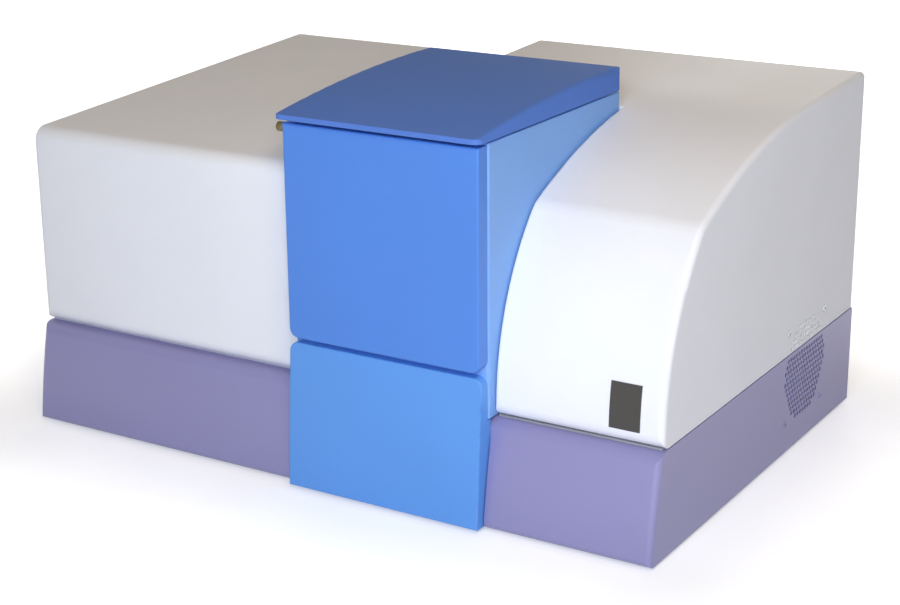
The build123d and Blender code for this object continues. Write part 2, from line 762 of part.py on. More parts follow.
# ================================================================== lid
def lid_form(inset):
    """Lid: long shallow arc with rounded flanks, corners and rear edge."""
    left = TOWER_LEFT - LID_SIDE_OVERHANG + inset
    right = TOWER_RIGHT + LID_SIDE_OVERHANG - inset
    middle, width = (left + right) / 2, right - left
    front, rear = -LIP_OVERHANG + inset, LID_REAR - inset
    crest = HEIGHT - FOOT_HEIGHT - inset
    radius = LID_ARC_R - inset
    hub_z = crest - radius
    skirt = 60.0

    section = Pos(middle, crest - skirt / 2) * Rectangle(width, skirt)
    tops = section.vertices().sort_by(Axis.Y)[-2:]
    section = fillet(tops, LID_SIDE_ROUND - inset / 2)
    axis = Axis((0, LID_CREST_Y, hub_z), (1, 0, 0))
    reach = math.degrees((LID_CREST_Y - front) / radius) + 0.6
    upright = Plane(origin=(0, LID_CREST_Y, 0), x_dir=(1, 0, 0), z_dir=(0, -1, 0)) * section
    barrel = revolve(upright.rotate(axis, reach), axis, revolution_arc=-(reach + 2.5))

    plan = Pos(middle, (front + rear) / 2) * RectangleRounded(
        width, rear - front, LID_PLAN_ROUND - inset
    )
    prism = extrude(Pos(0, 0, LID_Z - inset) * plan, amount=60)

    heel = LID_REAR_ROUND - inset
    spine = rear - heel - LID_CREST_Y
    drop = math.sqrt((radius - heel) ** 2 - spine**2)
    heel_z = hub_z + drop
    tilt = math.asin(spine / (radius - heel))
    touch = (LID_CREST_Y + radius * math.sin(tilt), hub_z + radius * math.cos(tilt))
    bow = math.radians(45)
    mid = (rear - heel + heel * math.sin(bow), heel_z + heel * math.cos(bow))
    heel_face = closed_face(
        ThreePointArc(touch, mid, (rear, heel_z)),
        Line((rear, heel_z), (rear + 40, heel_z)),
        Line((rear + 40, heel_z), (rear + 40, crest + 30)),
        Line((rear + 40, crest + 30), (touch[0], crest + 30)),
        Line((touch[0], crest + 30), touch),
    )
    return (barrel & prism) - along_x(heel_face, left - 5, right + 5)


def lid_shell():
    solid = lid_form(0)
    keep = block(-HALF, HALF, LID_CAVITY_Y, BACK, 0, HEIGHT)
    return solid - (lid_form(WALL) & keep)


def liner_area(clear):
    """Plan of the lid's liner plate: the mouth of the lid's cavity."""
    side = LID_SIDE_OVERHANG - WALL - clear
    return (
        TOWER_LEFT - side,
        TOWER_RIGHT + side,
        LID_CAVITY_Y + clear,
        LID_REAR - WALL - clear,
    )


def lid_liner():
    """Black plate that closes the underside of the lid."""
    plate = block(*liner_area(LINER_CLEAR), LID_Z, LID_Z + LINER_THICK)
    rear = [e for e in plate.edges().filter_by(Axis.Z) if e.center().Y > LID_CREST_Y]
    return fillet(rear, LID_PLAN_ROUND - WALL)


def light_seal():
    """Foam ring on the tower that the lid closes on."""
    reach = WELL_FLANGE + SEAL_GAP + SEAL_WIDTH
    left = SAMPLE_X - WELL_WIDTH / 2 - reach
    right = SAMPLE_X + WELL_WIDTH / 2 + reach
    front, rear = WELL_FRONT - reach, WELL_REAR + reach
    low, high = TOWER_TOP, LID_Z - SEAL_SQUEEZE
    outer = block(left, right, front, rear, low, high)
    outer = fillet(outer.edges().filter_by(Axis.Z), SEAL_WIDTH + 2)
    inner = block(
        left + SEAL_WIDTH, right - SEAL_WIDTH, front + SEAL_WIDTH, rear - SEAL_WIDTH, low, high
    )
    return outer - fillet(inner.edges().filter_by(Axis.Z), 2)


def lid_rest_pad():
    """Rubber pad on the upper panel's left flank, under the lid's corner."""
    y, z = PANEL_FACE_Y + PAD_R + 1.7, PANEL_TOP - PAD_DROP
    pad = rod_x(PANEL_LEFT - PAD_REACH, PANEL_LEFT, y, z, PAD_R)
    return fillet(pad.edges().sort_by(Axis.X)[0], 1.5)


def knuckles(x, moving):
    """Hinge barrel pieces: the middle third is fixed, the outer thirds move."""
    third = HINGE_LENGTH / 3
    half = HINGE_GAP / 2
    if moving:
        spans = [(x - 1.5 * third, x - third / 2 - half), (x + third / 2 + half, x + 1.5 * third)]
    else:
        spans = [(x - third / 2 + half, x + third / 2 - half)]
    y = hinge_y()
    return [rod_x(x0, x1, y, HINGE_Z, HINGE_BARREL_R) for x0, x1 in spans]


def hinge_y():
    """Hinge axis: one barrel radius behind the fixed leaf."""
    return TOWER_REAR + HINGE_LEAF + HINGE_BARREL_R - 0.6


def hinge_leaf(x, moving):
    """One leaf of a butt hinge with its knuckles and pin bore."""
    half = HINGE_LENGTH / 2
    y0 = LID_REAR if moving else TOWER_REAR
    if moving:
        plate = block(x - half, x + half, y0, y0 + HINGE_LEAF, LID_Z + 1, LID_Z + 9)
    else:
        third = HINGE_LENGTH / 6 - HINGE_GAP / 2
        plate = block(x - half, x + half, y0, y0 + HINGE_LEAF, TOWER_TOP - 9, HINGE_Z - 4.2)
        neck = block(x - third, x + third, y0, y0 + HINGE_LEAF, TOWER_TOP - 6, HINGE_Z)
        plate = plate + neck
    leaf = plate
    for knuckle in knuckles(x, moving):
        box = knuckle.bounding_box()
        low, high = (HINGE_Z, LID_Z + 4) if moving else (HINGE_Z - 4, HINGE_Z)
        arm = block(box.min.X, box.max.X, y0, y0 + HINGE_LEAF, low, high)
        if moving:
            arm = block(box.min.X, box.max.X, y0, hinge_y(), LID_Z + 1, LID_Z + 1 + HINGE_LEAF)
            arm = arm + block(
                box.min.X, box.max.X, hinge_y() - 1, hinge_y() + 1, HINGE_Z, LID_Z + 2
            )
        leaf = leaf + arm + knuckle
    bore = rod_x(x - half - 1, x + half + 1, hinge_y(), HINGE_Z, HINGE_PIN_R + HINGE_RUN)
    return leaf - bore


def hinge_pin(x):
    half = HINGE_LENGTH / 2
    return rod_x(x - half, x + half, hinge_y(), HINGE_Z, HINGE_PIN_R)


# ================================================================== sample compartment
def sample_well():
    """Blackened box hung in the tower, with light ports in three walls."""
    left = SAMPLE_X - WELL_WIDTH / 2 + TUBE_CLEAR
    right = SAMPLE_X + WELL_WIDTH / 2 - TUBE_CLEAR
    front, rear = WELL_FRONT + TUBE_CLEAR, WELL_REAR - TUBE_CLEAR
    top = TOWER_TOP + WELL_FLANGE_THICK
    solid = block(left, right, front, rear, WELL_FLOOR, top)
    grow = WELL_FLANGE
    flange = block(left - grow, right + grow, front - grow, rear + grow, TOWER_TOP, top)
    flange = fillet(flange.edges().filter_by(Axis.Z), 5)
    inside = block(
        left + WALL, right - WALL, front + WALL, rear - WALL, WELL_FLOOR + WALL, top + 1
    )
    inside = fillet(inside.edges().filter_by(Axis.Z), 5)
    hole = TUBE_R + TUBE_CLEAR
    ports = [
        rod_x(left - 1, left + WALL + 1, SAMPLE_Y, BEAM_Z, hole),
        rod_x(right - WALL - 1, right + 1, SAMPLE_Y, BEAM_Z, hole),
        rod_y(rear - WALL - 1, rear + 1, SAMPLE_X, BEAM_Z, hole),
    ]
    return solid + flange - inside - ports


def cuvette_foot():
    return BEAM_Z - CUVETTE_BEAM


def cuvette_holder():
    """Anodised block with a square socket and a light window in each side."""
    foot = cuvette_foot()
    floor = WELL_FLOOR + WALL
    half = HOLDER_SIDE / 2
    base = rod_z(floor, foot - 12, SAMPLE_X, SAMPLE_Y, PEDESTAL_R)
    base = chamfer(base.edges().sort_by(Axis.Z)[-1], 1.5)
    body = block(
        SAMPLE_X - half,
        SAMPLE_X + half,
        SAMPLE_Y - half,
        SAMPLE_Y + half,
        foot - 12,
        foot + HOLDER_GRIP,
    )
    body = chamfer(body.faces().sort_by(Axis.Z)[-1].edges(), 1.0)
    slot = CUVETTE_SIDE / 2 + CUVETTE_CLEAR
    socket = block(
        SAMPLE_X - slot,
        SAMPLE_X + slot,
        SAMPLE_Y - slot,
        SAMPLE_Y + slot,
        foot,
        foot + HOLDER_GRIP + 1,
    )
    across = rod_x(SAMPLE_X - half - 1, SAMPLE_X + half + 1, SAMPLE_Y, BEAM_Z, HOLDER_WINDOW_R)
    through = rod_y(SAMPLE_Y - half - 1, SAMPLE_Y + half + 1, SAMPLE_X, BEAM_Z, HOLDER_WINDOW_R)
    return base + body - [socket, across, through]


def cuvette():
    """Square cell of fused silica, open at the top."""
    half = CUVETTE_SIDE / 2
    inner = half - CUVETTE_WALL
    foot = cuvette_foot()
    top = foot + CUVETTE_HEIGHT
    outer = block(
        SAMPLE_X - half, SAMPLE_X + half, SAMPLE_Y - half, SAMPLE_Y + half, foot, top
    )
    return outer - block(
        SAMPLE_X - inner,
        SAMPLE_X + inner,
        SAMPLE_Y - inner,
        SAMPLE_Y + inner,
        foot + CUVETTE_WALL,
        top + 1,
    )


def tube_profile(length, collar_at):
    """Lens tube along its own Z, with a locating collar."""
    tube = Pos(0, 0, length / 2) * Cylinder(TUBE_R, length)
    collar = Pos(0, 0, collar_at + TUBE_COLLAR / 2) * Cylinder(TUBE_COLLAR_R, TUBE_COLLAR)
    bore = Pos(0, 0, length / 2) * Cylinder(TUBE_R - TUBE_WALL, length + 2)
    return tube + collar - bore


def lens_solid():
    """Biconvex lens along its own Z, ground to fit the tube."""
    radius = TUBE_R - TUBE_WALL
    ball = (radius**2 + LENS_SAG**2) / (2 * LENS_SAG)
    reach = LENS_EDGE / 2 + LENS_SAG - ball
    disc = Cylinder(radius, LENS_EDGE + 2 * LENS_SAG + 1)
    return disc & (Pos(0, 0, reach) * Sphere(ball)) & (Pos(0, 0, -reach) * Sphere(ball))


def lens_trains():
    """Tube and lens of each of the three light paths into the compartment."""
    reach = WELL_WIDTH / 2 - TUBE_CLEAR - WALL
    wheel_side = WHEEL_X + WHEEL_THICK + 3
    paths = {
        "excitation": (
            Pos(wheel_side, SAMPLE_Y, BEAM_Z) * Rot(0, 90, 0),
            SAMPLE_X - reach - wheel_side,
        ),
        "transmission": (
            Pos(SAMPLE_X + reach, SAMPLE_Y, BEAM_Z) * Rot(0, 90, 0),
            DETECTOR_X - SAMPLE_X - reach,
        ),
        "emission": (
            Pos(SAMPLE_X, WELL_REAR - TUBE_CLEAR - WALL, BEAM_Z) * Rot(-90, 0, 0),
            SPEC_FRONT - WELL_REAR + TUBE_CLEAR + WALL,
        ),
    }
    collars = {
        "excitation": TOWER_LEFT - TUBE_COLLAR - wheel_side,
        "transmission": WALL,
        "emission": WALL,
    }
    nodes = {}
    for name, (location, length) in paths.items():
        nodes[name + "_lens_tube"] = location * tube_profile(length, collars[name])
        nodes[name + "_lens"] = location * Pos(0, 0, length / 2) * lens_solid()
    return nodes


def absorbance_detector():
    """Diode housing on a bracket at the far end of the transmitted beam."""
    x, back = DETECTOR_X, DETECTOR_X + DETECTOR_DEPTH
    half = TUBE_R + 4.0
    head = block(x, back, SAMPLE_Y - half, SAMPLE_Y + half, BEAM_Z - half, BEAM_Z + half)
    head = fillet(head.edges().filter_by(Axis.X), 3)
    eye = rod_x(x - 1, x + 8, SAMPLE_Y, BEAM_Z, TUBE_R - TUBE_WALL)
    stem = block(x + 6, back - 6, SAMPLE_Y - 10, SAMPLE_Y + 10, BENCH_TOP, BEAM_Z - half)
    shoe = block(x - 2, back, SAMPLE_Y - half, SAMPLE_Y + half, BENCH_TOP, BENCH_TOP + 5)
    return head + stem + shoe - eye


# ================================================================== optical bench
def post_places():
    side = HALF - WALL - BENCH_INSET - 14
    rows = (BENCH_FRONT + 16, BENCH_REAR - 14)
    return [(x, y) for x in (-side, -40.0, side) for y in rows]


def bench_plate():
    """Aluminium plate that carries every optical module."""
    side = HALF - WALL - BENCH_INSET
    plate = block(-side, side, BENCH_FRONT, BENCH_REAR, BENCH_Z, BENCH_TOP)
    plate = fillet(plate.edges().filter_by(Axis.Z), 6)
    reach = FAN_SIZE / 2 + FAN_BAY
    bay = block(HALF - WALL - FAN_DEPTH - FAN_BAY, HALF, FAN_Y - reach, FAN_Y + reach, 0, BASE_TOP)
    holes = [rod_z(BENCH_Z - 1, BENCH_TOP + 1, x, y, SHAFT_R + 3) for x, y in GRATING_PLACES]
    holes += [rod_z(BENCH_Z - 1, BENCH_TOP + 1, x, y, SCREW_R + SCREW_CLEAR) for x, y in post_places()]
    return plate - ([bay] + holes)


def bench_posts():
    """Hexagonal posts between the tray floor and the bench."""
    height = BENCH_Z - WALL
    post = extrude(RegularPolygon(POST_R, 6), amount=height)
    bore = rod_z(height - BENCH_SCREW + 4, height + 1, 0, 0, SCREW_R + SCREW_CLEAR)
    return [Pos(x, y, WALL) * (post - bore) for x, y in post_places()]


def bench_screws():
    socket = Pos(0, 0, 2) * extrude(RegularPolygon(1.7, 6), amount=3)
    screw = rod_z(0, 4, 0, 0, 3.5) - socket + rod_z(-BENCH_SCREW, 0, 0, 0, SCREW_R)
    return [Pos(x, y, BENCH_TOP) * screw for x, y in post_places()]


def open_case(x0, x1, y0, y1, top):
    """Milled case on the bench: floor and walls, open above for its lid."""
    wall = CASE_WALL
    solid = block(x0, x1, y0, y1, BENCH_TOP, top)
    solid = fillet(solid.edges().filter_by(Axis.Z), CASE_ROUND)
    return solid - block(
        x0 + wall, x1 - wall, y0 + wall, y1 - wall, BENCH_TOP + wall, top + 1
    )


def case_lid(x0, x1, y0, y1, top):
    """Plate with screw heads that closes a case."""
    plate = block(x0, x1, y0, y1, top, top + CASE_LID)
    plate = fillet(plate.edges().filter_by(Axis.Z), CASE_ROUND)
    inset = CASE_SCREW_INSET
    heads = [
        rod_z(top + CASE_LID, top + CASE_LID + 2, x, y, 3.2)
        for x in (x0 + inset, x1 - inset)
        for y in (y0 + inset, (y0 + y1) / 2, y1 - inset)
    ]
    return plate + heads


def monochromator_case():
    case = open_case(MONO_LEFT, MONO_RIGHT, MONO_FRONT, MONO_REAR, MONO_TOP)
    snout = LAMP_PORT_R + CASE_WALL
    case = case + rod_x(LAMP_RIGHT, MONO_LEFT + 1, LAMP_BEAM_Y, BEAM_Z, snout)
    entry = rod_x(LAMP_RIGHT - 1, MONO_LEFT + CASE_WALL + 1, LAMP_BEAM_Y, BEAM_Z, LAMP_PORT_R)
    exit_port = rod_x(MONO_RIGHT - CASE_WALL - 1, MONO_RIGHT + 1, SAMPLE_Y, BEAM_Z, BEAM_PORT_R)
    floor = BENCH_TOP + CASE_WALL + 1
    wells = [rod_z(BENCH_TOP - 1, floor, x, y, SHAFT_R + 3) for x, y in GRATING_PLACES]
    return case - ([entry, exit_port] + wells)


def monochromator_lid():
    return case_lid(MONO_LEFT, MONO_RIGHT, MONO_FRONT, MONO_REAR, MONO_TOP)


def grating_turntable(index):
    """Turntable, clamp and ruled block on the drive shaft."""
    x, y = GRATING_PLACES[index]
    floor = BENCH_TOP + CASE_WALL
    table = rod_z(floor + 0.5, floor + 6, 0, 0, TABLE_R)
    shaft = rod_z(BENCH_Z - 14, floor + 1, 0, 0, SHAFT_R)
    block_low = BEAM_Z - 16
    carrier = block(-12, -2, -14, 14, floor + 5, BEAM_Z + 16)
    grating = block(-2, 6, -17, 17, block_low, BEAM_Z + 17)
    turned = Rot(0, 0, GRATING_HEADINGS[index]) * (table + carrier + grating)
    return Pos(x, y, 0) * (turned + shaft)


def grating_motors():
    """Two stepper motors hung under the bench."""
    motors = []
    for x, y in GRATING_PLACES:
        half = MOTOR_SIDE / 2
        body = block(-half, half, -half, half, BENCH_Z - MOTOR_LENGTH, BENCH_Z)
        body = chamfer(body.edges().filter_by(Axis.Z), 4)
        bore = rod_z(BENCH_Z - 16, BENCH_Z + 1, 0, 0, SHAFT_R + SHAFT_RUN)
        motors.append(Pos(x, y, 0) * (body - bore))
    return motors


def monochromator_mirrors():
    """Four first-surface mirrors on posts inside the case."""
    floor = BENCH_TOP + CASE_WALL
    mirrors = []
    for x, y, heading in MIRROR_PLACES:
        thick, curve = MIRROR_THICK, MIRROR_CURVE
        glass = rod_x(0, thick, 0, BEAM_Z, MIRROR_R)
        bowl = Pos(thick + curve - MIRROR_DISH, 0, BEAM_Z) * Sphere(curve)
        half = 0.6 * MIRROR_R
        backing = block(-thick, 0, -half, half, floor, BEAM_Z + half)
        mirrors.append(Pos(x, y, 0) * Rot(0, 0, heading) * (glass - bowl + backing))
    return mirrors


def shutter_blade():
    """Thin vane that swings across the exit beam."""
    x0, x1 = SHUTTER_X, SHUTTER_X + SHUTTER_THICK
    reach = SHUTTER_PIVOT_Y - SAMPLE_Y
    paddle = rod_x(x0, x1, SAMPLE_Y, BEAM_Z, 11)
    arm = block(x0, x1, SAMPLE_Y, SAMPLE_Y + reach, BEAM_Z - 4, BEAM_Z + 4)
    hub = rod_x(x0, x1 + 2, SHUTTER_PIVOT_Y, BEAM_Z, 5)
    shaft = rod_x(x0, x1 + 10, SHUTTER_PIVOT_Y, BEAM_Z, 1.5)
    return paddle + arm + hub + shaft


def shutter_actuator():
    """Rotary solenoid on its post."""
    x0 = SHUTTER_X + SHUTTER_THICK + 2.3
    coil = rod_x(x0, x0 + 18, SHUTTER_PIVOT_Y, BEAM_Z, 11)
    coil = coil - rod_x(x0 - 1, x0 + 9, SHUTTER_PIVOT_Y, BEAM_Z, 1.5 + SHAFT_RUN)
    post = block(x0 + 4, x0 + 14, SHUTTER_PIVOT_Y - 8, SHUTTER_PIVOT_Y + 8, BENCH_TOP, BEAM_Z - 7)
    return coil + post


def filter_places():
    """Filter centres round the wheel, the first one in the beam."""
    places = []
    for index in range(FILTER_COUNT):
        angle = math.radians(90 + 360 / FILTER_COUNT * index)
        y = SAMPLE_Y + WHEEL_DROP * math.cos(angle)
        z = BEAM_Z - WHEEL_DROP + WHEEL_DROP * math.sin(angle)
        places.append((y, z))
    return places


def filter_wheel():
    hub_z = BEAM_Z - WHEEL_DROP
    x0, x1 = WHEEL_X, WHEEL_X + WHEEL_THICK
    wheel = rod_x(x0, x1, SAMPLE_Y, hub_z, WHEEL_R)
    holes = [rod_x(x0 - 1, x1 + 1, y, z, FILTER_R) for y, z in filter_places()]
    shaft = rod_x(x0 - 12, x0 + 1, SAMPLE_Y, hub_z, 2.0)
    return wheel - holes + shaft


def order_filters():
    """Coloured glass discs seated in the wheel."""
    return [rod_x(WHEEL_X + 0.5, WHEEL_X + 2.5, y, z, FILTER_R) for y, z in filter_places()]


def filter_wheel_motor():
    hub_z = BEAM_Z - WHEEL_DROP
    x1 = WHEEL_X - 1.5
    can = rod_x(x1 - 20, x1, SAMPLE_Y, hub_z, 12)
    can = can - rod_x(x1 - 12, x1 + 1, SAMPLE_Y, hub_z, 2.0 + SHAFT_RUN)
    post = block(x1 - 16, x1 - 5, SAMPLE_Y - 9, SAMPLE_Y + 9, BENCH_TOP, hub_z - 8)
    return can + post


# ================================================================== lamp
def lamp_housing():
    """Finned box round the arc lamp, open to the monochromator."""
    wall, left = LAMP_WALL, LAMP_LEFT + LAMP_FIN_REACH
    solid = block(left, LAMP_RIGHT, LAMP_FRONT, LAMP_REAR, BENCH_TOP, LAMP_TOP)
    solid = solid - block(
        left + wall,
        LAMP_RIGHT - wall,
        LAMP_FRONT + wall,
        LAMP_REAR - wall,
        BENCH_TOP + wall,
        LAMP_TOP - wall,
    )
    pitch = (LAMP_REAR - LAMP_FRONT - 6) / (LAMP_FINS - 1)
    for index in range(LAMP_FINS):
        y = LAMP_FRONT + 2 + index * pitch
        solid = solid + block(LAMP_LEFT, left + 1, y, y + 2, BENCH_TOP + 12, LAMP_TOP)
    port = rod_x(LAMP_RIGHT - wall - 1, LAMP_RIGHT + 1, LAMP_BEAM_Y, BEAM_Z, LAMP_PORT_R)
    return solid - port


def lamp_centre():
    return (LAMP_LEFT + LAMP_FIN_REACH + LAMP_RIGHT) / 2 - 2


def xenon_lamp():
    """Short-arc lamp: silica bulb between two metal end caps, standing upright."""
    x, y = lamp_centre(), LAMP_BEAM_Y
    neck = BULB_R + 22.0
    bulb = Pos(x, y, BEAM_Z) * Sphere(BULB_R)
    stem = rod_z(BEAM_Z - neck - 4, BEAM_Z + neck + 4, x, y, 4.5)
    low = rod_z(BENCH_TOP + LAMP_WALL, BEAM_Z - neck, x, y, LAMP_CAP_R)
    high = rod_z(BEAM_Z + neck, LAMP_TOP - LAMP_WALL, x, y, LAMP_CAP_R)
    return bulb + stem + low + high


def lamp_reflector():
    """Concave mirror behind the bulb, on its bracket."""
    x, y = lamp_centre() - BULB_R - 2, LAMP_BEAM_Y
    curve = 2 * REFLECTOR_R
    bowl = rod_x(x - REFLECTOR_THICK, x, y, BEAM_Z, REFLECTOR_R)
    bowl = bowl - Pos(x + curve - 0.75 * REFLECTOR_THICK, y, BEAM_Z) * Sphere(curve)
    half = 0.4 * REFLECTOR_R
    floor = BENCH_TOP + LAMP_WALL
    bracket = block(
        x - REFLECTOR_THICK + 1, x - 2, y - half, y + half, floor, BEAM_Z - REFLECTOR_R + 3
    )
    return bowl + bracket


def lamp_supply():
    """Ballast and igniter of the lamp."""
    top = BENCH_TOP + BALLAST_HEIGHT
    body = block(LAMP_LEFT, LAMP_RIGHT, BALLAST_FRONT, BALLAST_REAR, BENCH_TOP, top)
    body = fillet(body.edges().filter_by(Axis.Z), 2)
    pitch = (BALLAST_REAR - BALLAST_FRONT - 15) / (BALLAST_RIBS - 1)
    starts = [BALLAST_FRONT + 6 + pitch * index for index in range(BALLAST_RIBS)]
    return body + [
        block(LAMP_LEFT + 8, LAMP_RIGHT - 8, y, y + 3, top, top + BALLAST_RIB) for y in starts
    ]


# ================================================================== emission side
def spectrograph_case():
    case = open_case(SPEC_LEFT, SPEC_RIGHT, SPEC_FRONT, SPEC_REAR, SPEC_TOP)
    entry = rod_y(SPEC_FRONT - 1, SPEC_FRONT + CASE_WALL + 1, SAMPLE_X, BEAM_Z, BEAM_PORT_R)
    half_w, half_h = CCD_NOSE_W / 2 + 2, CCD_NOSE_H / 2 + 2
    x0, x1 = SPEC_RIGHT - CASE_WALL - 1, SPEC_RIGHT + 1
    eye = block(x0, x1, CCD_Y - half_w, CCD_Y + half_w, BEAM_Z - half_h, BEAM_Z + half_h)
    return case - [entry, eye]


def spectrograph_lid():
    return case_lid(SPEC_LEFT, SPEC_RIGHT, SPEC_FRONT, SPEC_REAR, SPEC_TOP)


def concave_grating():
    """Ruled concave mirror at the back of the spectrograph."""
    wall = SPEC_REAR - CASE_WALL
    y = wall - SPEC_MOUNT
    front = y - SPEC_GRATING_THICK
    disc = rod_y(front, y, SAMPLE_X, BEAM_Z, SPEC_GRATING_R)
    curve = 4 * SPEC_GRATING_R
    disc = disc - Pos(SAMPLE_X, front - curve + 2, BEAM_Z) * Sphere(curve)
    half = 0.7 * SPEC_GRATING_R
    mount = block(SAMPLE_X - half, SAMPLE_X + half, y, wall, BEAM_Z - half, BEAM_Z + half)
    return disc + mount


def ccd_head():
    """Cooled array detector with its fins."""
    half = CCD_SIDE / 2
    low, high = BEAM_Z - half, BEAM_Z + half
    back = SPEC_RIGHT + CCD_DEPTH
    head = block(SPEC_RIGHT, back, CCD_Y - half, CCD_Y + half, low, high)
    half_w, half_h = CCD_NOSE_W / 2, CCD_NOSE_H / 2
    x0, x1 = SPEC_RIGHT - CASE_WALL, SPEC_RIGHT + 1
    nose = block(x0, x1, CCD_Y - half_w, CCD_Y + half_w, BEAM_Z - half_h, BEAM_Z + half_h)
    thick = 2.5
    pitch = (CCD_SIDE - thick) / (CCD_FINS - 1)
    starts = [CCD_Y - half + pitch * index for index in range(CCD_FINS)]
    return head + nose + [block(back, back + CCD_FIN, y, y + thick, low, high) for y in starts]


# ================================================================== electronics and fan
def power_supply():
    """Sheet metal case with a vented side."""
    body = block(PSU_LEFT, PSU_RIGHT, PSU_FRONT, PSU_REAR, BENCH_TOP, PSU_TOP)
    pitch = (PSU_REAR - PSU_FRONT) / (PSU_SLOTS + 1)
    low, high = BENCH_TOP + PSU_SLOT_INSET, PSU_TOP - PSU_SLOT_INSET
    starts = [PSU_FRONT + pitch * (index + 1) - 2 for index in range(PSU_SLOTS)]
    return body - [block(PSU_LEFT - 1, PSU_LEFT + 2, y, y + 4, low, high) for y in starts]


def main_board():
    """Controller board on four spacers, with its chips and sockets."""
    low = PSU_TOP + BOARD_GAP
    top = low + BOARD_THICK
    x0, x1, y0, y1 = PSU_LEFT + 4, PSU_RIGHT - 6, PSU_FRONT + 30, PSU_REAR - 4
    wide, deep = x1 - x0, y1 - y0
    board = block(x0, x1, y0, y1, low, top)
    inset = 6.0
    spacers = [
        rod_z(PSU_TOP, low, x, y, 3) for x in (x0 + inset, x1 - inset) for y in (y0 + inset, y1 - inset)
    ]
    parts = []
    for across, along, side, length, height in BOARD_PARTS:
        x, y = x0 + across * wide, y0 + along * deep
        half_w, half_l = side * wide / 2, length * deep / 2
        parts.append(block(x - half_w, x + half_w, y - half_l, y + half_l, top, top + height))
    cans = [rod_z(top, top + 16, x0 + across * wide, y0 + 0.84 * deep, 6.5) for across in (0.54, 0.78)]
    return board + spacers + parts + cans


def fan_frame():
    """Square fan frame with its bearing boss on four struts."""
    outer = HALF - WALL
    inner = outer - FAN_DEPTH
    reach = FAN_SIZE / 2
    frame = block(inner, outer, FAN_Y - reach, FAN_Y + reach, FAN_Z - reach, FAN_Z + reach)
    frame = fillet(frame.edges().filter_by(Axis.X), 5)
    frame = frame - rod_x(inner - 1, outer + 1, FAN_Y, FAN_Z, FAN_BORE_R)
    boss = rod_x(inner, inner + 5, FAN_Y, FAN_Z, FAN_HUB_R)
    struts = []
    for index in range(FAN_STRUTS):
        strut = Pos(inner + 1.5, 0, FAN_BORE_R / 2 + 2) * Box(3, 5, FAN_BORE_R)
        turn = Rot(360 / FAN_STRUTS * index + 45, 0, 0)
        struts.append(Pos(0, FAN_Y, FAN_Z) * turn * strut)
    frame = frame + boss + struts
    screw_bores = [
        rod_x(inner - 1, outer + 1, y, z, SCREW_R + SCREW_CLEAR) for y, z in fan_corners()
    ]
    spindle = rod_x(inner - 1, inner + 6, FAN_Y, FAN_Z, 1.5 + SHAFT_RUN)
    return frame - (screw_bores + [spindle])


def fan_rotor():
    """Hub with pitched blades, running on its spindle."""
    inner = HALF - WALL - FAN_DEPTH
    x0, x1 = inner + 6, inner + FAN_DEPTH - 3
    hub = rod_x(x0, x1, 0, 0, FAN_HUB_R)
    hub = fillet(hub.edges().sort_by(Axis.X)[-1], 2)
    tip = FAN_BORE_R - FAN_TIP_GAP
    length = tip - FAN_HUB_R + 2
    blades = []
    for index in range(FAN_BLADES):
        blade = Box(1.6, 19, length)
        blade = Pos((x0 + x1) / 2, 0, FAN_HUB_R - 2 + length / 2) * Rot(0, 0, 48) * blade
        blades.append(Rot(360 / FAN_BLADES * index, 0, 0) * blade)
    trim = rod_x(x0, x1, 0, 0, tip)
    rotor = hub + blades
    rotor = rotor & trim
    rotor = rotor + rod_x(inner + 1, x0 + 1, 0, 0, 1.5)
    return Pos(0, FAN_Y, FAN_Z) * rotor


def fan_screws():
    """Countersunk screws, flush with the right end face."""
    tip = HALF - WALL - FAN_DEPTH / 2
    return [countersunk(y, z, tip, 0) for y, z in fan_corners()]


# ================================================================== rear sockets
def io_faces():
    """Outer and inner face of the socket plate."""
    outer = BACK - WALL
    return outer, outer - IO_THICK


def inlet_body(slack):
    """Shape of the inlet behind its flange."""
    outer, _ = io_faces()
    half_w, half_h = INLET_W / 2 - 6 + slack, INLET_H / 2 - 2.5 + slack
    return block(
        INLET_X - half_w, INLET_X + half_w, outer - 20, outer + 1, IO_Z - half_h, IO_Z + half_h
    )


def rocker_body(slack):
    """Shape of the switch frame behind its flange."""
    outer, _ = io_faces()
    half_w, half_h = ROCKER_W / 2 - 2 + slack, ROCKER_H / 2 - 2 + slack
    return block(
        ROCKER_X - half_w, ROCKER_X + half_w, outer - 16, outer + 1, IO_Z - half_h, IO_Z + half_h
    )


def usb_body(slack):
    outer, _ = io_faces()
    half_w, half_h = 6.0 + slack, 5.5 + slack
    return block(
        USB_X - half_w, USB_X + half_w, outer - 16, outer + 1.2, IO_Z - half_h, IO_Z + half_h
    )


def rear_io_plate():
    """Metal plate behind the window in the base's rear wall."""
    outer, inner = io_faces()
    lap = IO_LAP
    plate = block(IO_LEFT - lap, IO_RIGHT + lap, inner, outer, IO_BOTTOM - lap, IO_TOP + lap)
    cuts = [inlet_body(0.2), rocker_body(0.2), usb_body(0.2)]
    cuts += [rod_y(inner - 1, outer + 1, x, IO_Z, JACK_R + 0.1) for x in JACK_XS]
    return plate - cuts


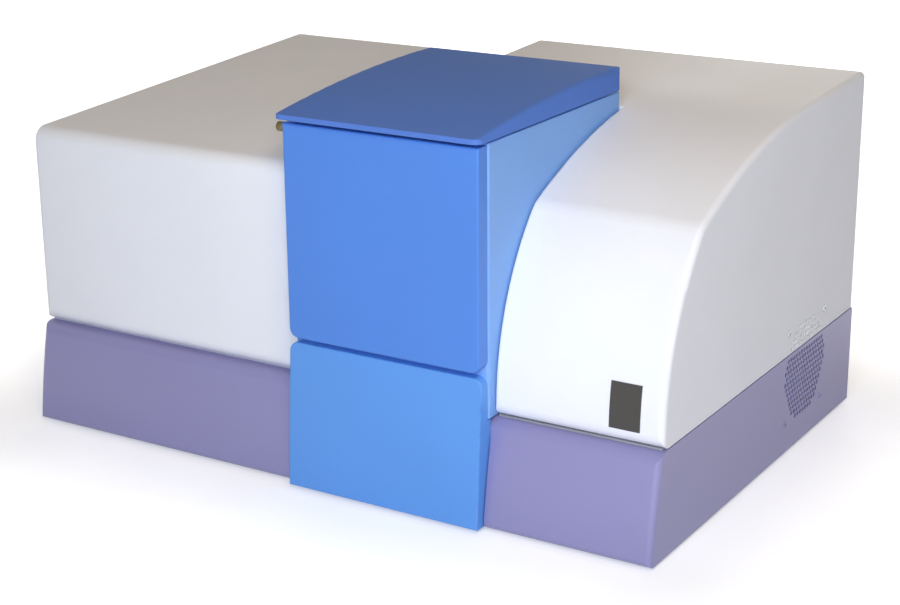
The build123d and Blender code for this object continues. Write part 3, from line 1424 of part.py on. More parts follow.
def power_inlet():
    """Three-pin mains inlet with its flange."""
    outer, _ = io_faces()
    half_w, half_h = INLET_W / 2, INLET_H / 2
    flange = block(
        INLET_X - half_w, INLET_X + half_w, outer, outer + 2.6, IO_Z - half_h, IO_Z + half_h
    )
    flange = fillet(flange.edges().filter_by(Axis.Y), 3)
    flange = chamfer(flange.faces().sort_by(Axis.Y)[-1].edges(), 0.6)
    cup = block(INLET_X - 12, INLET_X + 12, outer - 16, outer + 4, IO_Z - 7.5, IO_Z + 7.5)
    low = [e for e in cup.edges().filter_by(Axis.Y) if e.center().Z > IO_Z]
    cup = chamfer(low, 4)
    pins = [
        block(INLET_X + dx - 1, INLET_X + dx + 1, outer - 17, outer, IO_Z + dz - 2, IO_Z + dz + 2)
        for dx, dz in ((-7, -1.5), (0, 2.5), (7, -1.5))
    ]
    return flange + inlet_body(0) - cup + pins


def rocker_axis_y():
    outer, _ = io_faces()
    return outer - 1.0


def rocker_frame():
    outer, _ = io_faces()
    half_w, half_h = ROCKER_W / 2, ROCKER_H / 2
    flange = block(
        ROCKER_X - half_w, ROCKER_X + half_w, outer, outer + 2, IO_Z - half_h, IO_Z + half_h
    )
    flange = fillet(flange.edges().filter_by(Axis.Y), 1.5)
    well = block(
        ROCKER_X - half_w + 3.5,
        ROCKER_X + half_w - 3.5,
        outer - 12,
        outer + 3,
        IO_Z - half_h + 3.4,
        IO_Z + half_h - 3.4,
    )
    bore = rod_x(
        ROCKER_X - half_w + 2.2, ROCKER_X + half_w - 2.2, rocker_axis_y(), IO_Z, 1.0 + SHAFT_RUN
    )
    return flange + rocker_body(0) - [well, bore]


def rocker_paddle():
    """Rocker with a shallow V face, lying in its off position."""
    half_w = ROCKER_W / 2 - 3.9
    half_h = ROCKER_H / 2 - 4.0
    axis = rocker_axis_y()
    dip = math.tan(math.radians(ROCKER_TILT)) * half_h
    crest = 3.2
    side = polygon(
        (-5.0, -half_h * 0.55),
        (crest + dip, -half_h),
        (crest, 0),
        (crest + dip, half_h),
        (-5.0, half_h * 0.55),
    )
    body = extrude(Plane.YZ.offset(-half_w) * side, amount=2 * half_w)
    body = body + rod_x(-half_w - 1.3, half_w + 1.3, 0, 0, 1.0)
    return Pos(ROCKER_X, axis, IO_Z) * Rot(ROCKER_TILT, 0, 0) * body


def data_sockets():
    """Square data socket and two round trigger jacks."""
    outer, inner = io_faces()
    usb = usb_body(0) - block(
        USB_X - 4.2, USB_X + 4.2, outer - 9, outer + 2, IO_Z - 3.8, IO_Z + 3.8
    )
    tongue = block(USB_X - 2.8, USB_X + 2.8, outer - 10, outer, IO_Z - 1.6, IO_Z + 1.6)
    tip = BACK + REAR_FITTINGS
    jacks = []
    for x in JACK_XS:
        jack = rod_y(inner - 8, tip, x, IO_Z, JACK_R)
        nut = extrude(RegularPolygon(4.6, 6), amount=2)
        nut = Pos(x, outer + 2, IO_Z) * Rot(90, 0, 0) * nut
        jacks.append(jack + nut - rod_y(tip - 8, tip + 1, x, IO_Z, JACK_R - 0.8))
    return [usb + tongue] + jacks


# ================================================================== all nodes
def build_nodes():
    """Every sub-part by its node name, in the drawing frame."""
    nodes = {
        "base_tray": base_tray(),
        "seam_gasket": seam_gasket(),
        "feet": feet(),
        "left_cover": left_cover(),
        "right_cover": right_cover(),
        "cover_screws": cover_screws(),
        "tower_housing": tower_housing(),
        "upper_front_panel": upper_front_panel(),
        "lower_front_panel": lower_front_panel(),
        "panel_studs": panel_studs(),
        "lid_shell": lid_shell(),
        "lid_liner": lid_liner(),
        "light_seal": light_seal(),
        "lid_rest_pad": lid_rest_pad(),
        "hinge_fixed_leaves": [hinge_leaf(x, False) for x in HINGE_XS],
        "hinge_lid_leaves": [hinge_leaf(x, True) for x in HINGE_XS],
        "hinge_pins": [hinge_pin(x) for x in HINGE_XS],
        "sample_well": sample_well(),
        "cuvette_holder": cuvette_holder(),
        "cuvette": cuvette(),
        "absorbance_detector": absorbance_detector(),
        "bench_plate": bench_plate(),
        "bench_posts": bench_posts(),
        "bench_screws": bench_screws(),
        "monochromator_case": monochromator_case(),
        "monochromator_lid": monochromator_lid(),
        "grating_turntable_a": grating_turntable(0),
        "grating_turntable_b": grating_turntable(1),
        "grating_motors": grating_motors(),
        "monochromator_mirrors": monochromator_mirrors(),
        "shutter_blade": shutter_blade(),
        "shutter_actuator": shutter_actuator(),
        "filter_wheel": filter_wheel(),
        "order_filters": order_filters(),
        "filter_wheel_motor": filter_wheel_motor(),
        "lamp_housing": lamp_housing(),
        "xenon_lamp": xenon_lamp(),
        "lamp_reflector": lamp_reflector(),
        "lamp_supply": lamp_supply(),
        "spectrograph_case": spectrograph_case(),
        "spectrograph_lid": spectrograph_lid(),
        "concave_grating": concave_grating(),
        "ccd_head": ccd_head(),
        "power_supply": power_supply(),
        "main_board": main_board(),
        "fan_frame": fan_frame(),
        "fan_rotor": fan_rotor(),
        "fan_screws": fan_screws(),
        "rear_io_plate": rear_io_plate(),
        "power_inlet": power_inlet(),
        "rocker_frame": rocker_frame(),
        "rocker_paddle": rocker_paddle(),
        "data_sockets": data_sockets(),
    }
    nodes.update(lens_trains())
    return nodes


def solids_of(piece):
    """One flat list of solids, whatever a function returned."""
    pieces = piece if isinstance(piece, list) else [piece]
    return [solid for item in pieces for solid in item.solids()]


os.makedirs("parts", exist_ok=True)
for name, piece in build_nodes().items():
    solids = [place(solid) for solid in solids_of(piece)]
    shape = solids[0] if len(solids) == 1 else Compound(children=solids)
    export_step(shape, f"parts/{name}.step")
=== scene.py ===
# %% [markdown]
# # Benchtop fluorometer: finishes, small hardware and studio
#
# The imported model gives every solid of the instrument. This lesson dresses them: a
# procedural finish for each solid, and the small hardware that a fine surface needs.

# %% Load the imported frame
import json
import math

import bmesh
import bpy
from mathutils import Matrix, Vector


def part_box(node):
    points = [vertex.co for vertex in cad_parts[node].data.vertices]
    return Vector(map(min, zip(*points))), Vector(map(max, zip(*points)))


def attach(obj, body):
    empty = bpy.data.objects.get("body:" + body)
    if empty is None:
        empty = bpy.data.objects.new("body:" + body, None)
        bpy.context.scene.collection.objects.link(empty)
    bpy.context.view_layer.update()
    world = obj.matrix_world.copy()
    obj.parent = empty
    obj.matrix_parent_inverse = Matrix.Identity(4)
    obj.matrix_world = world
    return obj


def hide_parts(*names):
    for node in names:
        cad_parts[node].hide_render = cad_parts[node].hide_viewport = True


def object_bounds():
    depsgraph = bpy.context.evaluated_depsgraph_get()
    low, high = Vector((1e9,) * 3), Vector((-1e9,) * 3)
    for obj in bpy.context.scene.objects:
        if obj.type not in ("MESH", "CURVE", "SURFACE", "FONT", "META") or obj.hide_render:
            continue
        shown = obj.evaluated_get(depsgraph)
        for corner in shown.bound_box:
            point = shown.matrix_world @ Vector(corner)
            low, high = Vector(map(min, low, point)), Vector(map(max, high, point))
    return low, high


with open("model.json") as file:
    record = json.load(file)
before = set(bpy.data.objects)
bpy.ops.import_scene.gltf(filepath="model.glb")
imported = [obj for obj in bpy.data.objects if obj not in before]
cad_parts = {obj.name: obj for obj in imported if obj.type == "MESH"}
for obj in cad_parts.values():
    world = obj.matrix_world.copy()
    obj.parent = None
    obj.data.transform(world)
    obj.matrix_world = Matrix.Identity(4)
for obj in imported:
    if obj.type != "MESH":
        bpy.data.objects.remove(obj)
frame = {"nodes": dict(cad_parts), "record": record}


def box_numbers(box):
    return [[round(float(v), 6) for v in corner] for corner in box]


CAD_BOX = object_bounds()
print("CAD box", box_numbers(CAD_BOX))


# %% [markdown]
# ## Colours
#
# Paint charts give colours as 0 to 255 display values. The shaders want linear light, so
# one function turns the first into the second, and every colour below is written the way
# a paint chart has it.

# %% Colour helpers
def linear(*display):
    """Display values, 0 to 255, as linear light with alpha 1."""
    out = []
    for value in display:
        v = value / 255
        out.append(v / 12.92 if v <= 0.04045 else ((v + 0.055) / 1.055) ** 2.4)
    return (*out, 1.0)


def shade(colour, factor):
    return (*(min(1.0, c * factor) for c in colour[:3]), 1.0)


# %% [markdown]
# ## A small shader workshop
#
# A finish is a chain: object coordinates, a texture, a ramp, and a socket of the shader.
# The workshop class keeps that chain short, so each finish below reads as a recipe. It
# uses object coordinates throughout. They belong to the part, so nothing slides when the
# camera moves.

# %% Shader workshop
class Finish:
    """One procedural material under construction."""

    def __init__(self, name, colour, roughness, metallic=0.0):
        self.material = bpy.data.materials.new(name)
        self.material.use_nodes = True
        self.tree = self.material.node_tree
        self.tree.nodes.clear()
        self.output = self.node("OutputMaterial")
        self.shader = self.node("BsdfPrincipled")
        self.wire(self.shader, "BSDF", self.output, "Surface")
        self.shader.inputs["Base Color"].default_value = colour
        self.shader.inputs["Roughness"].default_value = roughness
        self.shader.inputs["Metallic"].default_value = metallic
        self.coords = self.node("TexCoord")
        self.normal = None

    def node(self, kind, **settings):
        made = self.tree.nodes.new("ShaderNode" + kind)
        for key, value in settings.items():
            setattr(made, key, value)
        return made

    def wire(self, source, out, target, into):
        self.tree.links.new(source.outputs[out], target.inputs[into])

    def mapped(self, scale=(1, 1, 1), turn=(0, 0, 0), shift=(0, 0, 0)):
        mapping = self.node("Mapping")
        mapping.inputs["Scale"].default_value = scale
        mapping.inputs["Rotation"].default_value = turn
        mapping.inputs["Location"].default_value = shift
        self.wire(self.coords, "Object", mapping, "Vector")
        return mapping

    def noise(self, scale, detail=3.0, stretch=(1, 1, 1)):
        mapping = self.mapped(stretch)
        noise = self.node("TexNoise")
        noise.inputs["Scale"].default_value = scale
        noise.inputs["Detail"].default_value = detail
        self.wire(mapping, "Vector", noise, "Vector")
        return noise

    def ramp(self, source, out, stops):
        ramp = self.node("ValToRGB")
        elements = ramp.color_ramp.elements
        for index, (position, colour) in enumerate(stops):
            stop = elements[index] if index < 2 else elements.new(position)
            stop.position, stop.color = position, colour
        self.wire(source, out, ramp, "Fac")
        return ramp

    def range(self, source, out, low, high):
        mapped = self.node("MapRange")
        mapped.inputs["From Min"].default_value = 0.25
        mapped.inputs["From Max"].default_value = 0.75
        mapped.inputs["To Min"].default_value = low
        mapped.inputs["To Max"].default_value = high
        self.wire(source, out, mapped, "Value")
        return mapped

    def bump(self, source, out, strength, distance):
        bump = self.node("Bump")
        bump.inputs["Strength"].default_value = strength
        bump.inputs["Distance"].default_value = distance
        self.wire(source, out, bump, "Height")
        if self.normal is not None:
            self.wire(self.normal, "Normal", bump, "Normal")
        self.wire(bump, "Normal", self.shader, "Normal")
        self.normal = bump
        return bump


# %% [markdown]
# ## Moulded covers
#
# The covers are reaction moulded polyurethane with a fine textured paint. Close up it has
# a sandy grain under half a millimetre and, over a hand's width, a very faint unevenness.
# Two noises give both: the small one drives a bump, the large one the colour and gloss.

# %% Textured paint
def textured_paint(name, colour, roughness, sheen=0.34, grain=2600.0, depth=0.35, cloud=0.03):
    finish = Finish(name, colour, roughness)
    clouds = finish.noise(7.0, 4.0)
    tint = finish.ramp(
        clouds, "Fac", [(0.3, shade(colour, 1 - cloud)), (0.7, shade(colour, 1 + cloud))]
    )
    finish.wire(tint, "Color", finish.shader, "Base Color")
    gloss = finish.range(clouds, "Fac", roughness - 0.05, roughness + 0.05)
    finish.wire(gloss, "Result", finish.shader, "Roughness")
    sand = finish.noise(grain, 2.0)
    finish.bump(sand, "Fac", depth, 0.00012)
    finish.shader.inputs["Specular IOR Level"].default_value = sheen
    return finish.material


WHITE = linear(244, 244, 247)
LILAC = linear(133, 129, 176)
PANEL_BLUE = linear(82, 135, 217)
APRON_BLUE = linear(95, 154, 227)
LID_BLUE = linear(91, 128, 206)
TOWER_BLUE = linear(130, 174, 233)
PLATE_BROWN = linear(66, 63, 59)

FINISHES = {
    "cover_white": textured_paint("cover_white", WHITE, 0.48),
    "base_lilac": textured_paint("base_lilac", LILAC, 0.36, 0.95, grain=2200.0, depth=0.25),
    "panel_blue": textured_paint("panel_blue", PANEL_BLUE, 0.42, 0.36, depth=0.22),
    "apron_blue": textured_paint("apron_blue", APRON_BLUE, 0.42, 0.36, depth=0.22),
    "lid_blue": textured_paint("lid_blue", LID_BLUE, 0.66, 0.12, depth=0.40),
    "tower_blue": textured_paint("tower_blue", TOWER_BLUE, 0.48, 0.32),
    "trim_grey": textured_paint("trim_grey", linear(205, 205, 212), 0.5, cloud=0.05),
    # A darker copy of the pale trim grey, worn by the seam lip: painted shade of the groove under
    # the curved cover.
    "seam_grey": textured_paint("seam_grey", linear(146, 146, 154), 0.5, cloud=0.05),
    "plate_brown": textured_paint("plate_brown", PLATE_BROWN, 0.42, grain=3000.0, cloud=0.08),
}


# %% [markdown]
# ## Rubber, foam and black mouldings
#
# Rubber is dull, with dust in its pores. The light seal is closed cell foam, so a Voronoi
# texture gives it cells of about half a millimetre, each painted with shade, darkest in its
# pit and lighter on its walls. Black mouldings are glossier.

# %% Rubber and black plastics
def rubber(name, colour):
    finish = Finish(name, colour, 0.85)
    dust = finish.noise(60.0, 6.0)
    tint = finish.ramp(dust, "Fac", [(0.35, shade(colour, 0.8)), (0.75, shade(colour, 1.9))])
    finish.wire(tint, "Color", finish.shader, "Base Color")
    finish.bump(finish.noise(1500.0, 3.0), "Fac", 0.4, 0.0002)
    return finish.material


def foam(name, colour):
    finish = Finish(name, colour, 0.95)
    cells = finish.node("TexVoronoi")
    cells.inputs["Scale"].default_value = 1900.0
    finish.wire(finish.mapped(), "Vector", cells, "Vector")
    # Painted shade: each cell is darkest in its pit, where the bump sinks, and lighter on its
    # raised walls.
    tint = finish.ramp(cells, "Distance", [(0.1, shade(colour, 0.4)), (0.6, shade(colour, 2.2))])
    finish.wire(tint, "Color", finish.shader, "Base Color")
    finish.bump(cells, "Distance", 0.8, 0.0004)
    return finish.material


def black_moulding(name, colour, roughness=0.38):
    finish = Finish(name, colour, roughness)
    flow = finish.noise(25.0, 5.0, stretch=(1, 1, 3))
    tint = finish.ramp(flow, "Fac", [(0.3, shade(colour, 0.85)), (0.7, shade(colour, 1.3))])
    finish.wire(tint, "Color", finish.shader, "Base Color")
    gloss = finish.range(flow, "Fac", roughness - 0.06, roughness + 0.08)
    finish.wire(gloss, "Result", finish.shader, "Roughness")
    finish.bump(finish.noise(3200.0, 2.0), "Fac", 0.25, 0.0001)
    return finish.material


FINISHES["rubber_black"] = rubber("rubber_black", linear(38, 38, 40))
FINISHES["pad_olive"] = rubber("pad_olive", linear(126, 112, 72))
FINISHES["foam_black"] = foam("foam_black", linear(30, 30, 34))
FINISHES["plastic_black"] = black_moulding("plastic_black", linear(36, 37, 40))


# %% [markdown]
# ## Metals
#
# Black anodising keeps the cutter's marks. The bench is milled plate: long parallel tool
# marks from a stretched noise. Zinc plated sheet shows crystals, and fixings are bright
# with fine scratches.

# %% Metals
def anodised(name, colour):
    finish = Finish(name, colour, 0.42, 0.65)
    marks = finish.noise(240.0, 3.0, stretch=(0.08, 1, 1))
    tint = finish.ramp(marks, "Fac", [(0.3, shade(colour, 0.75)), (0.7, shade(colour, 1.4))])
    finish.wire(tint, "Color", finish.shader, "Base Color")
    gloss = finish.range(marks, "Fac", 0.36, 0.52)
    finish.wire(gloss, "Result", finish.shader, "Roughness")
    finish.bump(finish.noise(2600.0, 2.0), "Fac", 0.3, 0.0001)
    return finish.material


def milled(name, colour):
    finish = Finish(name, colour, 0.34, 1.0)
    passes = finish.noise(420.0, 2.0, stretch=(0.02, 1, 1))
    tint = finish.ramp(passes, "Fac", [(0.3, shade(colour, 0.88)), (0.7, shade(colour, 1.06))])
    finish.wire(tint, "Color", finish.shader, "Base Color")
    gloss = finish.range(passes, "Fac", 0.26, 0.44)
    finish.wire(gloss, "Result", finish.shader, "Roughness")
    finish.bump(passes, "Fac", 0.25, 0.00015)
    return finish.material


def plated_sheet(name, colour):
    finish = Finish(name, colour, 0.36, 1.0)
    spangle = finish.node("TexVoronoi")
    spangle.inputs["Scale"].default_value = 95.0
    finish.wire(finish.mapped(), "Vector", spangle, "Vector")
    tint = finish.ramp(
        spangle, "Color", [(0.1, shade(colour, 0.82)), (0.9, shade(colour, 1.08))]
    )
    finish.wire(tint, "Color", finish.shader, "Base Color")
    gloss = finish.range(spangle, "Color", 0.28, 0.46)
    finish.wire(gloss, "Result", finish.shader, "Roughness")
    finish.bump(finish.noise(900.0, 3.0), "Fac", 0.12, 0.0001)
    return finish.material


def bright_fixing(name, colour):
    finish = Finish(name, colour, 0.24, 1.0)
    scratches = finish.noise(1800.0, 4.0, stretch=(1, 0.15, 1))
    tint = finish.ramp(scratches, "Fac", [(0.3, shade(colour, 0.85)), (0.7, shade(colour, 1.1))])
    finish.wire(tint, "Color", finish.shader, "Base Color")
    gloss = finish.range(scratches, "Fac", 0.18, 0.34)
    finish.wire(gloss, "Result", finish.shader, "Roughness")
    finish.bump(scratches, "Fac", 0.15, 0.00008)
    return finish.material


FINISHES["anodised_black"] = anodised("anodised_black", linear(46, 46, 49))
FINISHES["aluminium_plate"] = milled("aluminium_plate", linear(206, 208, 212))
FINISHES["steel_sheet"] = plated_sheet("steel_sheet", linear(196, 199, 202))
FINISHES["steel_fixing"] = bright_fixing("steel_fixing", linear(186, 188, 192))


# %% [markdown]
# ## Optics
#
# Fused silica lets nearly all light through. A ruled grating splits it into colours, and
# a fine wave texture across the blank paints those colours on it in bands: a painted
# reflection of the split light. Mirrors have a faint coating tint, and each order filter
# is a glass of its own colour.

# %% Optics
def silica(name):
    finish = Finish(name, linear(246, 250, 252), 0.03)
    finish.shader.inputs["Transmission Weight"].default_value = 0.92
    finish.shader.inputs["IOR"].default_value = 1.46
    haze = finish.noise(180.0, 4.0)
    tint = finish.ramp(haze, "Fac", [(0.4, linear(250, 252, 253)), (0.8, linear(232, 240, 244))])
    finish.wire(tint, "Color", finish.shader, "Base Color")
    gloss = finish.range(haze, "Fac", 0.02, 0.09)
    finish.wire(gloss, "Result", finish.shader, "Roughness")
    return finish.material


def coloured_glass(name, colour):
    finish = Finish(name, colour, 0.05)
    finish.shader.inputs["Transmission Weight"].default_value = 0.75
    finish.shader.inputs["IOR"].default_value = 1.52
    haze = finish.noise(220.0, 4.0)
    tint = finish.ramp(haze, "Fac", [(0.3, shade(colour, 0.9)), (0.8, shade(colour, 1.1))])
    finish.wire(tint, "Color", finish.shader, "Base Color")
    gloss = finish.range(haze, "Fac", 0.03, 0.1)
    finish.wire(gloss, "Result", finish.shader, "Roughness")
    return finish.material


def coated_mirror(name, colour):
    finish = Finish(name, colour, 0.05, 1.0)
    bloom = finish.noise(90.0, 5.0)
    tint = finish.ramp(bloom, "Fac", [(0.3, shade(colour, 0.94)), (0.8, shade(colour, 1.04))])
    finish.wire(tint, "Color", finish.shader, "Base Color")
    gloss = finish.range(bloom, "Fac", 0.03, 0.12)
    finish.wire(gloss, "Result", finish.shader, "Roughness")
    return finish.material


def ruled_grating(name):
    finish = Finish(name, linear(200, 196, 190), 0.16, 1.0)
    rules = finish.node("TexWave", wave_type="BANDS", bands_direction="Z")
    rules.inputs["Scale"].default_value = 42.0
    rules.inputs["Distortion"].default_value = 0.6
    finish.wire(finish.mapped(), "Vector", rules, "Vector")
    # Painted reflection: the colours that the ruling splits from the light, laid on the blank as
    # fixed bands.
    painted_spectrum = [
        (0.05, linear(196, 150, 190)),
        (0.30, linear(150, 170, 214)),
        (0.55, linear(150, 204, 176)),
        (0.75, linear(222, 214, 150)),
        (0.95, linear(220, 164, 140)),
    ]
    tint = finish.ramp(rules, "Fac", painted_spectrum)
    finish.wire(tint, "Color", finish.shader, "Base Color")
    finish.shader.inputs["Anisotropic"].default_value = 0.6
    finish.bump(rules, "Fac", 0.1, 0.0001)
    return finish.material


FINISHES["silica"] = silica("silica")
FINISHES["mirror_coat"] = coated_mirror("mirror_coat", linear(232, 234, 238))
FINISHES["grating_ruling"] = ruled_grating("grating_ruling")
FINISHES["filter_glass"] = coloured_glass("filter_glass", linear(220, 140, 40))


# %% [markdown]
# ## Circuit board
#
# Solder mask over copper: a brick texture makes straight tracks. The copper shows through
# the mask as a slightly lighter green.

# %% Circuit board
def circuit_board(name):
    green, copper = linear(20, 92, 54), linear(44, 128, 78)
    finish = Finish(name, green, 0.3)
    tracks = finish.node("TexBrick")
    tracks.inputs["Scale"].default_value = 160.0
    tracks.inputs["Mortar Size"].default_value = 0.06
    tracks.inputs["Color1"].default_value = green
    tracks.inputs["Color2"].default_value = shade(green, 1.15)
    tracks.inputs["Mortar"].default_value = copper
    finish.wire(finish.mapped(), "Vector", tracks, "Vector")
    finish.wire(tracks, "Color", finish.shader, "Base Color")
    finish.bump(tracks, "Fac", 0.2, 0.0001)
    finish.shader.inputs["Coat Weight"].default_value = 0.3
    return finish.material


FINISHES["board_green"] = circuit_board("board_green")
print("finishes:", len(FINISHES))


# %% [markdown]
# ## Dress the solids
#
# The record says which finish each solid takes. Every solid gets the material of its slot
# in its own material slots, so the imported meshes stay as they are.

# %% Assign finishes to the CAD solids
SLOT_OF = {item["node"]: item["material_slot"] for item in frame["record"]["subparts"]}


def cad_object(name):
    node = frame["nodes"][name]
    return node if isinstance(node, bpy.types.Object) else bpy.data.objects[name]


def dress(obj, material):
    if not obj.material_slots:
        obj.data.materials.append(material)
    for slot in obj.material_slots:
        slot.material = material


for node_name, slot_name in SLOT_OF.items():
    dress(cad_object(node_name), FINISHES[slot_name])
print("dressed:", len(SLOT_OF))


# %% [markdown]
# ## A bench for small hardware
#
# The small pieces are turned, stamped or bent, and the mesh is made the same way: a half
# profile is spun about its axis, a sheet is spun a few degrees to bend it, and one unit is
# stamped at several places. Each finished piece sits at the origin with its place in its
# mesh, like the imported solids.

# %% Mesh helpers
MM = 0.001
ROUND_STEPS = 32


def turned(profile, steps=ROUND_STEPS):
    """Spin a half profile of (radius, height) in millimetres about Z into a closed form."""
    bm = bmesh.new()
    verts = [bm.verts.new((r * MM, 0, h * MM)) for r, h in profile]
    edges = [bm.edges.new(pair) for pair in zip(verts, verts[1:])]
    bmesh.ops.spin(
        bm, geom=verts + edges, cent=(0, 0, 0), axis=(0, 0, 1), dvec=(0, 0, 0),
        angle=math.tau, steps=steps, use_merge=True,
    )
    bmesh.ops.remove_doubles(bm, verts=bm.verts, dist=1e-6)
    bmesh.ops.recalc_face_normals(bm, faces=bm.faces)
    return bm


def slab(size, bevel=0.0, segments=2):
    """Box of a size in millimetres about the origin, with rounded edges."""
    bm = bmesh.new()
    bmesh.ops.create_cube(bm, size=1.0)
    bmesh.ops.scale(bm, vec=[s * MM for s in size], verts=bm.verts)
    if bevel:
        bmesh.ops.bevel(
            bm, geom=bm.edges[:], offset=bevel * MM, offset_type="OFFSET",
            segments=segments, profile=0.5, affect="EDGES", material=-1,
        )
    return bm


def stamp(unit, places, target=None):
    """Copy a unit to every place, a list of matrices, into one bmesh."""
    die = bpy.data.meshes.new("die")
    unit.to_mesh(die)
    unit.free()
    whole = target if target is not None else bmesh.new()
    for place in places:
        copy = die.copy()
        copy.transform(place)
        whole.from_mesh(copy)
        bpy.data.meshes.remove(copy)
    bpy.data.meshes.remove(die)
    return whole


def at(x, y, z, heading="+Z"):
    """Matrix that puts a unit at a place in metres, its Z turned to a heading."""
    quarter = math.pi / 2
    turns = {
        "+Z": Matrix.Identity(4),
        "-Z": Matrix.Rotation(math.pi, 4, "X"),
        "+X": Matrix.Rotation(quarter, 4, "Y"),
        "-X": Matrix.Rotation(-quarter, 4, "Y"),
        "+Y": Matrix.Rotation(-quarter, 4, "X"),
        "-Y": Matrix.Rotation(quarter, 4, "X"),
    }
    return Matrix.Translation((x, y, z)) @ turns[heading]


def piece(name, bm, body, slot_name, material=None, smooth_angle=35.0):
    """Finish a bmesh as a named piece that rides on a body."""
    bmesh.ops.recalc_face_normals(bm, faces=bm.faces)
    mesh = bpy.data.meshes.new(name)
    bm.to_mesh(mesh)
    bm.free()
    for polygon in mesh.polygons:
        polygon.use_smooth = True
    mesh.set_sharp_from_angle(angle=math.radians(smooth_angle))
    obj = bpy.data.objects.new(name, mesh)
    bpy.context.scene.collection.objects.link(obj)
    mesh.materials.append(material or FINISHES[slot_name])
    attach(obj, body)
    print(name, len(mesh.polygons), "faces")
    return obj


# %% [markdown]
# ## Bare plate
#
# A thin dark plate is glued low on the curved cover's front. It carries nothing. The
# cover rises there on an arc about an axis along X, so an edge spun a few degrees about
# that same axis lies on the cover exactly, and solidify gives it a thickness.

# %% Bare plate on the curved cover
COVER_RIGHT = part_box("right_cover")
BROW_RADIUS = 212.5
BROW_FOOT = 14.0         # height of the arc's start above the cover's lower edge
PLATE_X = (263.5, 289.5)
PLATE_RISE = (0.3, 37.0)
PLATE_THICK = 0.5


def bare_plate():
    face_y = COVER_RIGHT[0][1]
    start_z = COVER_RIGHT[0][2] + (BROW_FOOT - 3.0) * MM
    centre = Vector((0, face_y + BROW_RADIUS * MM, start_z))
    first = math.asin(PLATE_RISE[0] / BROW_RADIUS)
    last = math.asin(PLATE_RISE[1] / BROW_RADIUS)
    bm = bmesh.new()
    ends = [bm.verts.new((x * MM, face_y, start_z)) for x in PLATE_X]
    edge = bm.edges.new(ends)
    bmesh.ops.rotate(bm, cent=centre, matrix=Matrix.Rotation(-first, 3, "X"), verts=ends)
    bmesh.ops.spin(
        bm, geom=ends + [edge], cent=centre, axis=(1, 0, 0), dvec=(0, 0, 0),
        angle=first - last, steps=12, use_merge=False,
    )
    bmesh.ops.recalc_face_normals(bm, faces=bm.faces)
    outward = bm.faces[:][0].normal.y < 0
    if not outward:
        bmesh.ops.reverse_faces(bm, faces=bm.faces)
    bmesh.ops.solidify(bm, geom=bm.faces[:], thickness=-PLATE_THICK * MM)
    return bm


piece("bare_plate", bare_plate(), "instrument", "plastic_black", FINISHES["plate_brown"])


# %% [markdown]
# ## Seam lip
#
# The curved cover stands on a pale strip. A lip of that strip reaches forward between the
# two roundings and shows as a light line in the groove. The lip is coloured a darker grey
# than the strip, as painted shade of the groove. It is one long bar, so a scaled cube with
# bevelled edges is enough, and it touches the strip that carries it.

# %% Seam lip under the curved cover
SEAM_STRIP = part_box("seam_gasket")
LIP_REACH = 5.4
LIP_RISE = 1.8
LIP_START = 0.0015       # clear of the tower's flank
LIP_END = 0.002          # short of the strip's right end


def seam_lip():
    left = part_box("tower_housing")[1][0] + LIP_START
    right = SEAM_STRIP[1][0] - LIP_END
    front = SEAM_STRIP[0][1]
    middle = (SEAM_STRIP[0][2] + SEAM_STRIP[1][2]) / 2
    bar = slab(((right - left) / MM, LIP_REACH, LIP_RISE), 0.45, 3)
    return stamp(bar, [at((left + right) / 2, front - LIP_REACH * MM / 2, middle)])


# The lip takes the darker seam grey, not the strip's pale trim grey: painted shade of the groove.
piece("seam_lip", seam_lip(), "instrument", "trim_grey", FINISHES["seam_grey"])


# %% [markdown]
# ## Screws
#
# Every screw has a hexagon socket. The head is spun from its half profile with an open
# top, a six-sided loop is laid in the opening, and bridging the two loops makes the flat
# ring between them. The loop is then extruded down and filled to make the socket.

# %% Screw maker
def socket_screw(profile, socket_radius, depth, top):
    """Screw with a hexagon socket; the profile ends at the rim of the opening."""
    bm = turned(profile)
    rim = [e for e in bm.edges if e.is_boundary and abs(e.verts[0].co.z - top * MM) < 1e-6]
    ring = bmesh.ops.create_circle(
        bm, cap_ends=False, segments=6, radius=socket_radius * MM,
        matrix=Matrix.Translation((0, 0, top * MM)),
    )
    loop = list({e for v in ring["verts"] for e in v.link_edges})
    bmesh.ops.bridge_loops(bm, edges=rim + loop)
    walls = bmesh.ops.extrude_edge_only(bm, edges=loop)
    low = [v for v in walls["geom"] if isinstance(v, bmesh.types.BMVert)]
    bmesh.ops.translate(bm, vec=(0, 0, -depth * MM), verts=low)
    bmesh.ops.contextual_create(bm, geom=low)
    return bm


# %% Fan screws with raised countersunk heads
FAN_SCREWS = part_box("fan_screws")
M4_SOCKET = 1.25         # radius of the hexagon over its corners
M4_SOCKET_DEPTH = 1.3
COUNTERSINK_HEAD = 3.6
FAN_SCREW_LENGTH = 15.5
SAME_LEVEL = 0.01        # metres; the two levels are much further apart


def fan_screw_places():
    low, high = FAN_SCREWS
    margin = COUNTERSINK_HEAD * MM
    ys = (low[1] + margin, high[1] - margin)
    zs = (low[2] + margin, high[2] - margin)
    return [at(high[0], y, z, "+X") for y in ys for z in zs]


FAN_SCREW_PROFILE = [
    (0, -FAN_SCREW_LENGTH), (1.6, -FAN_SCREW_LENGTH), (2.0, -FAN_SCREW_LENGTH + 0.5),
    (2.0, -1.6), (3.4, -0.2), (3.5, 0.0), (3.3, 0.3), (2.7, 0.6), (1.9, 0.8),
]


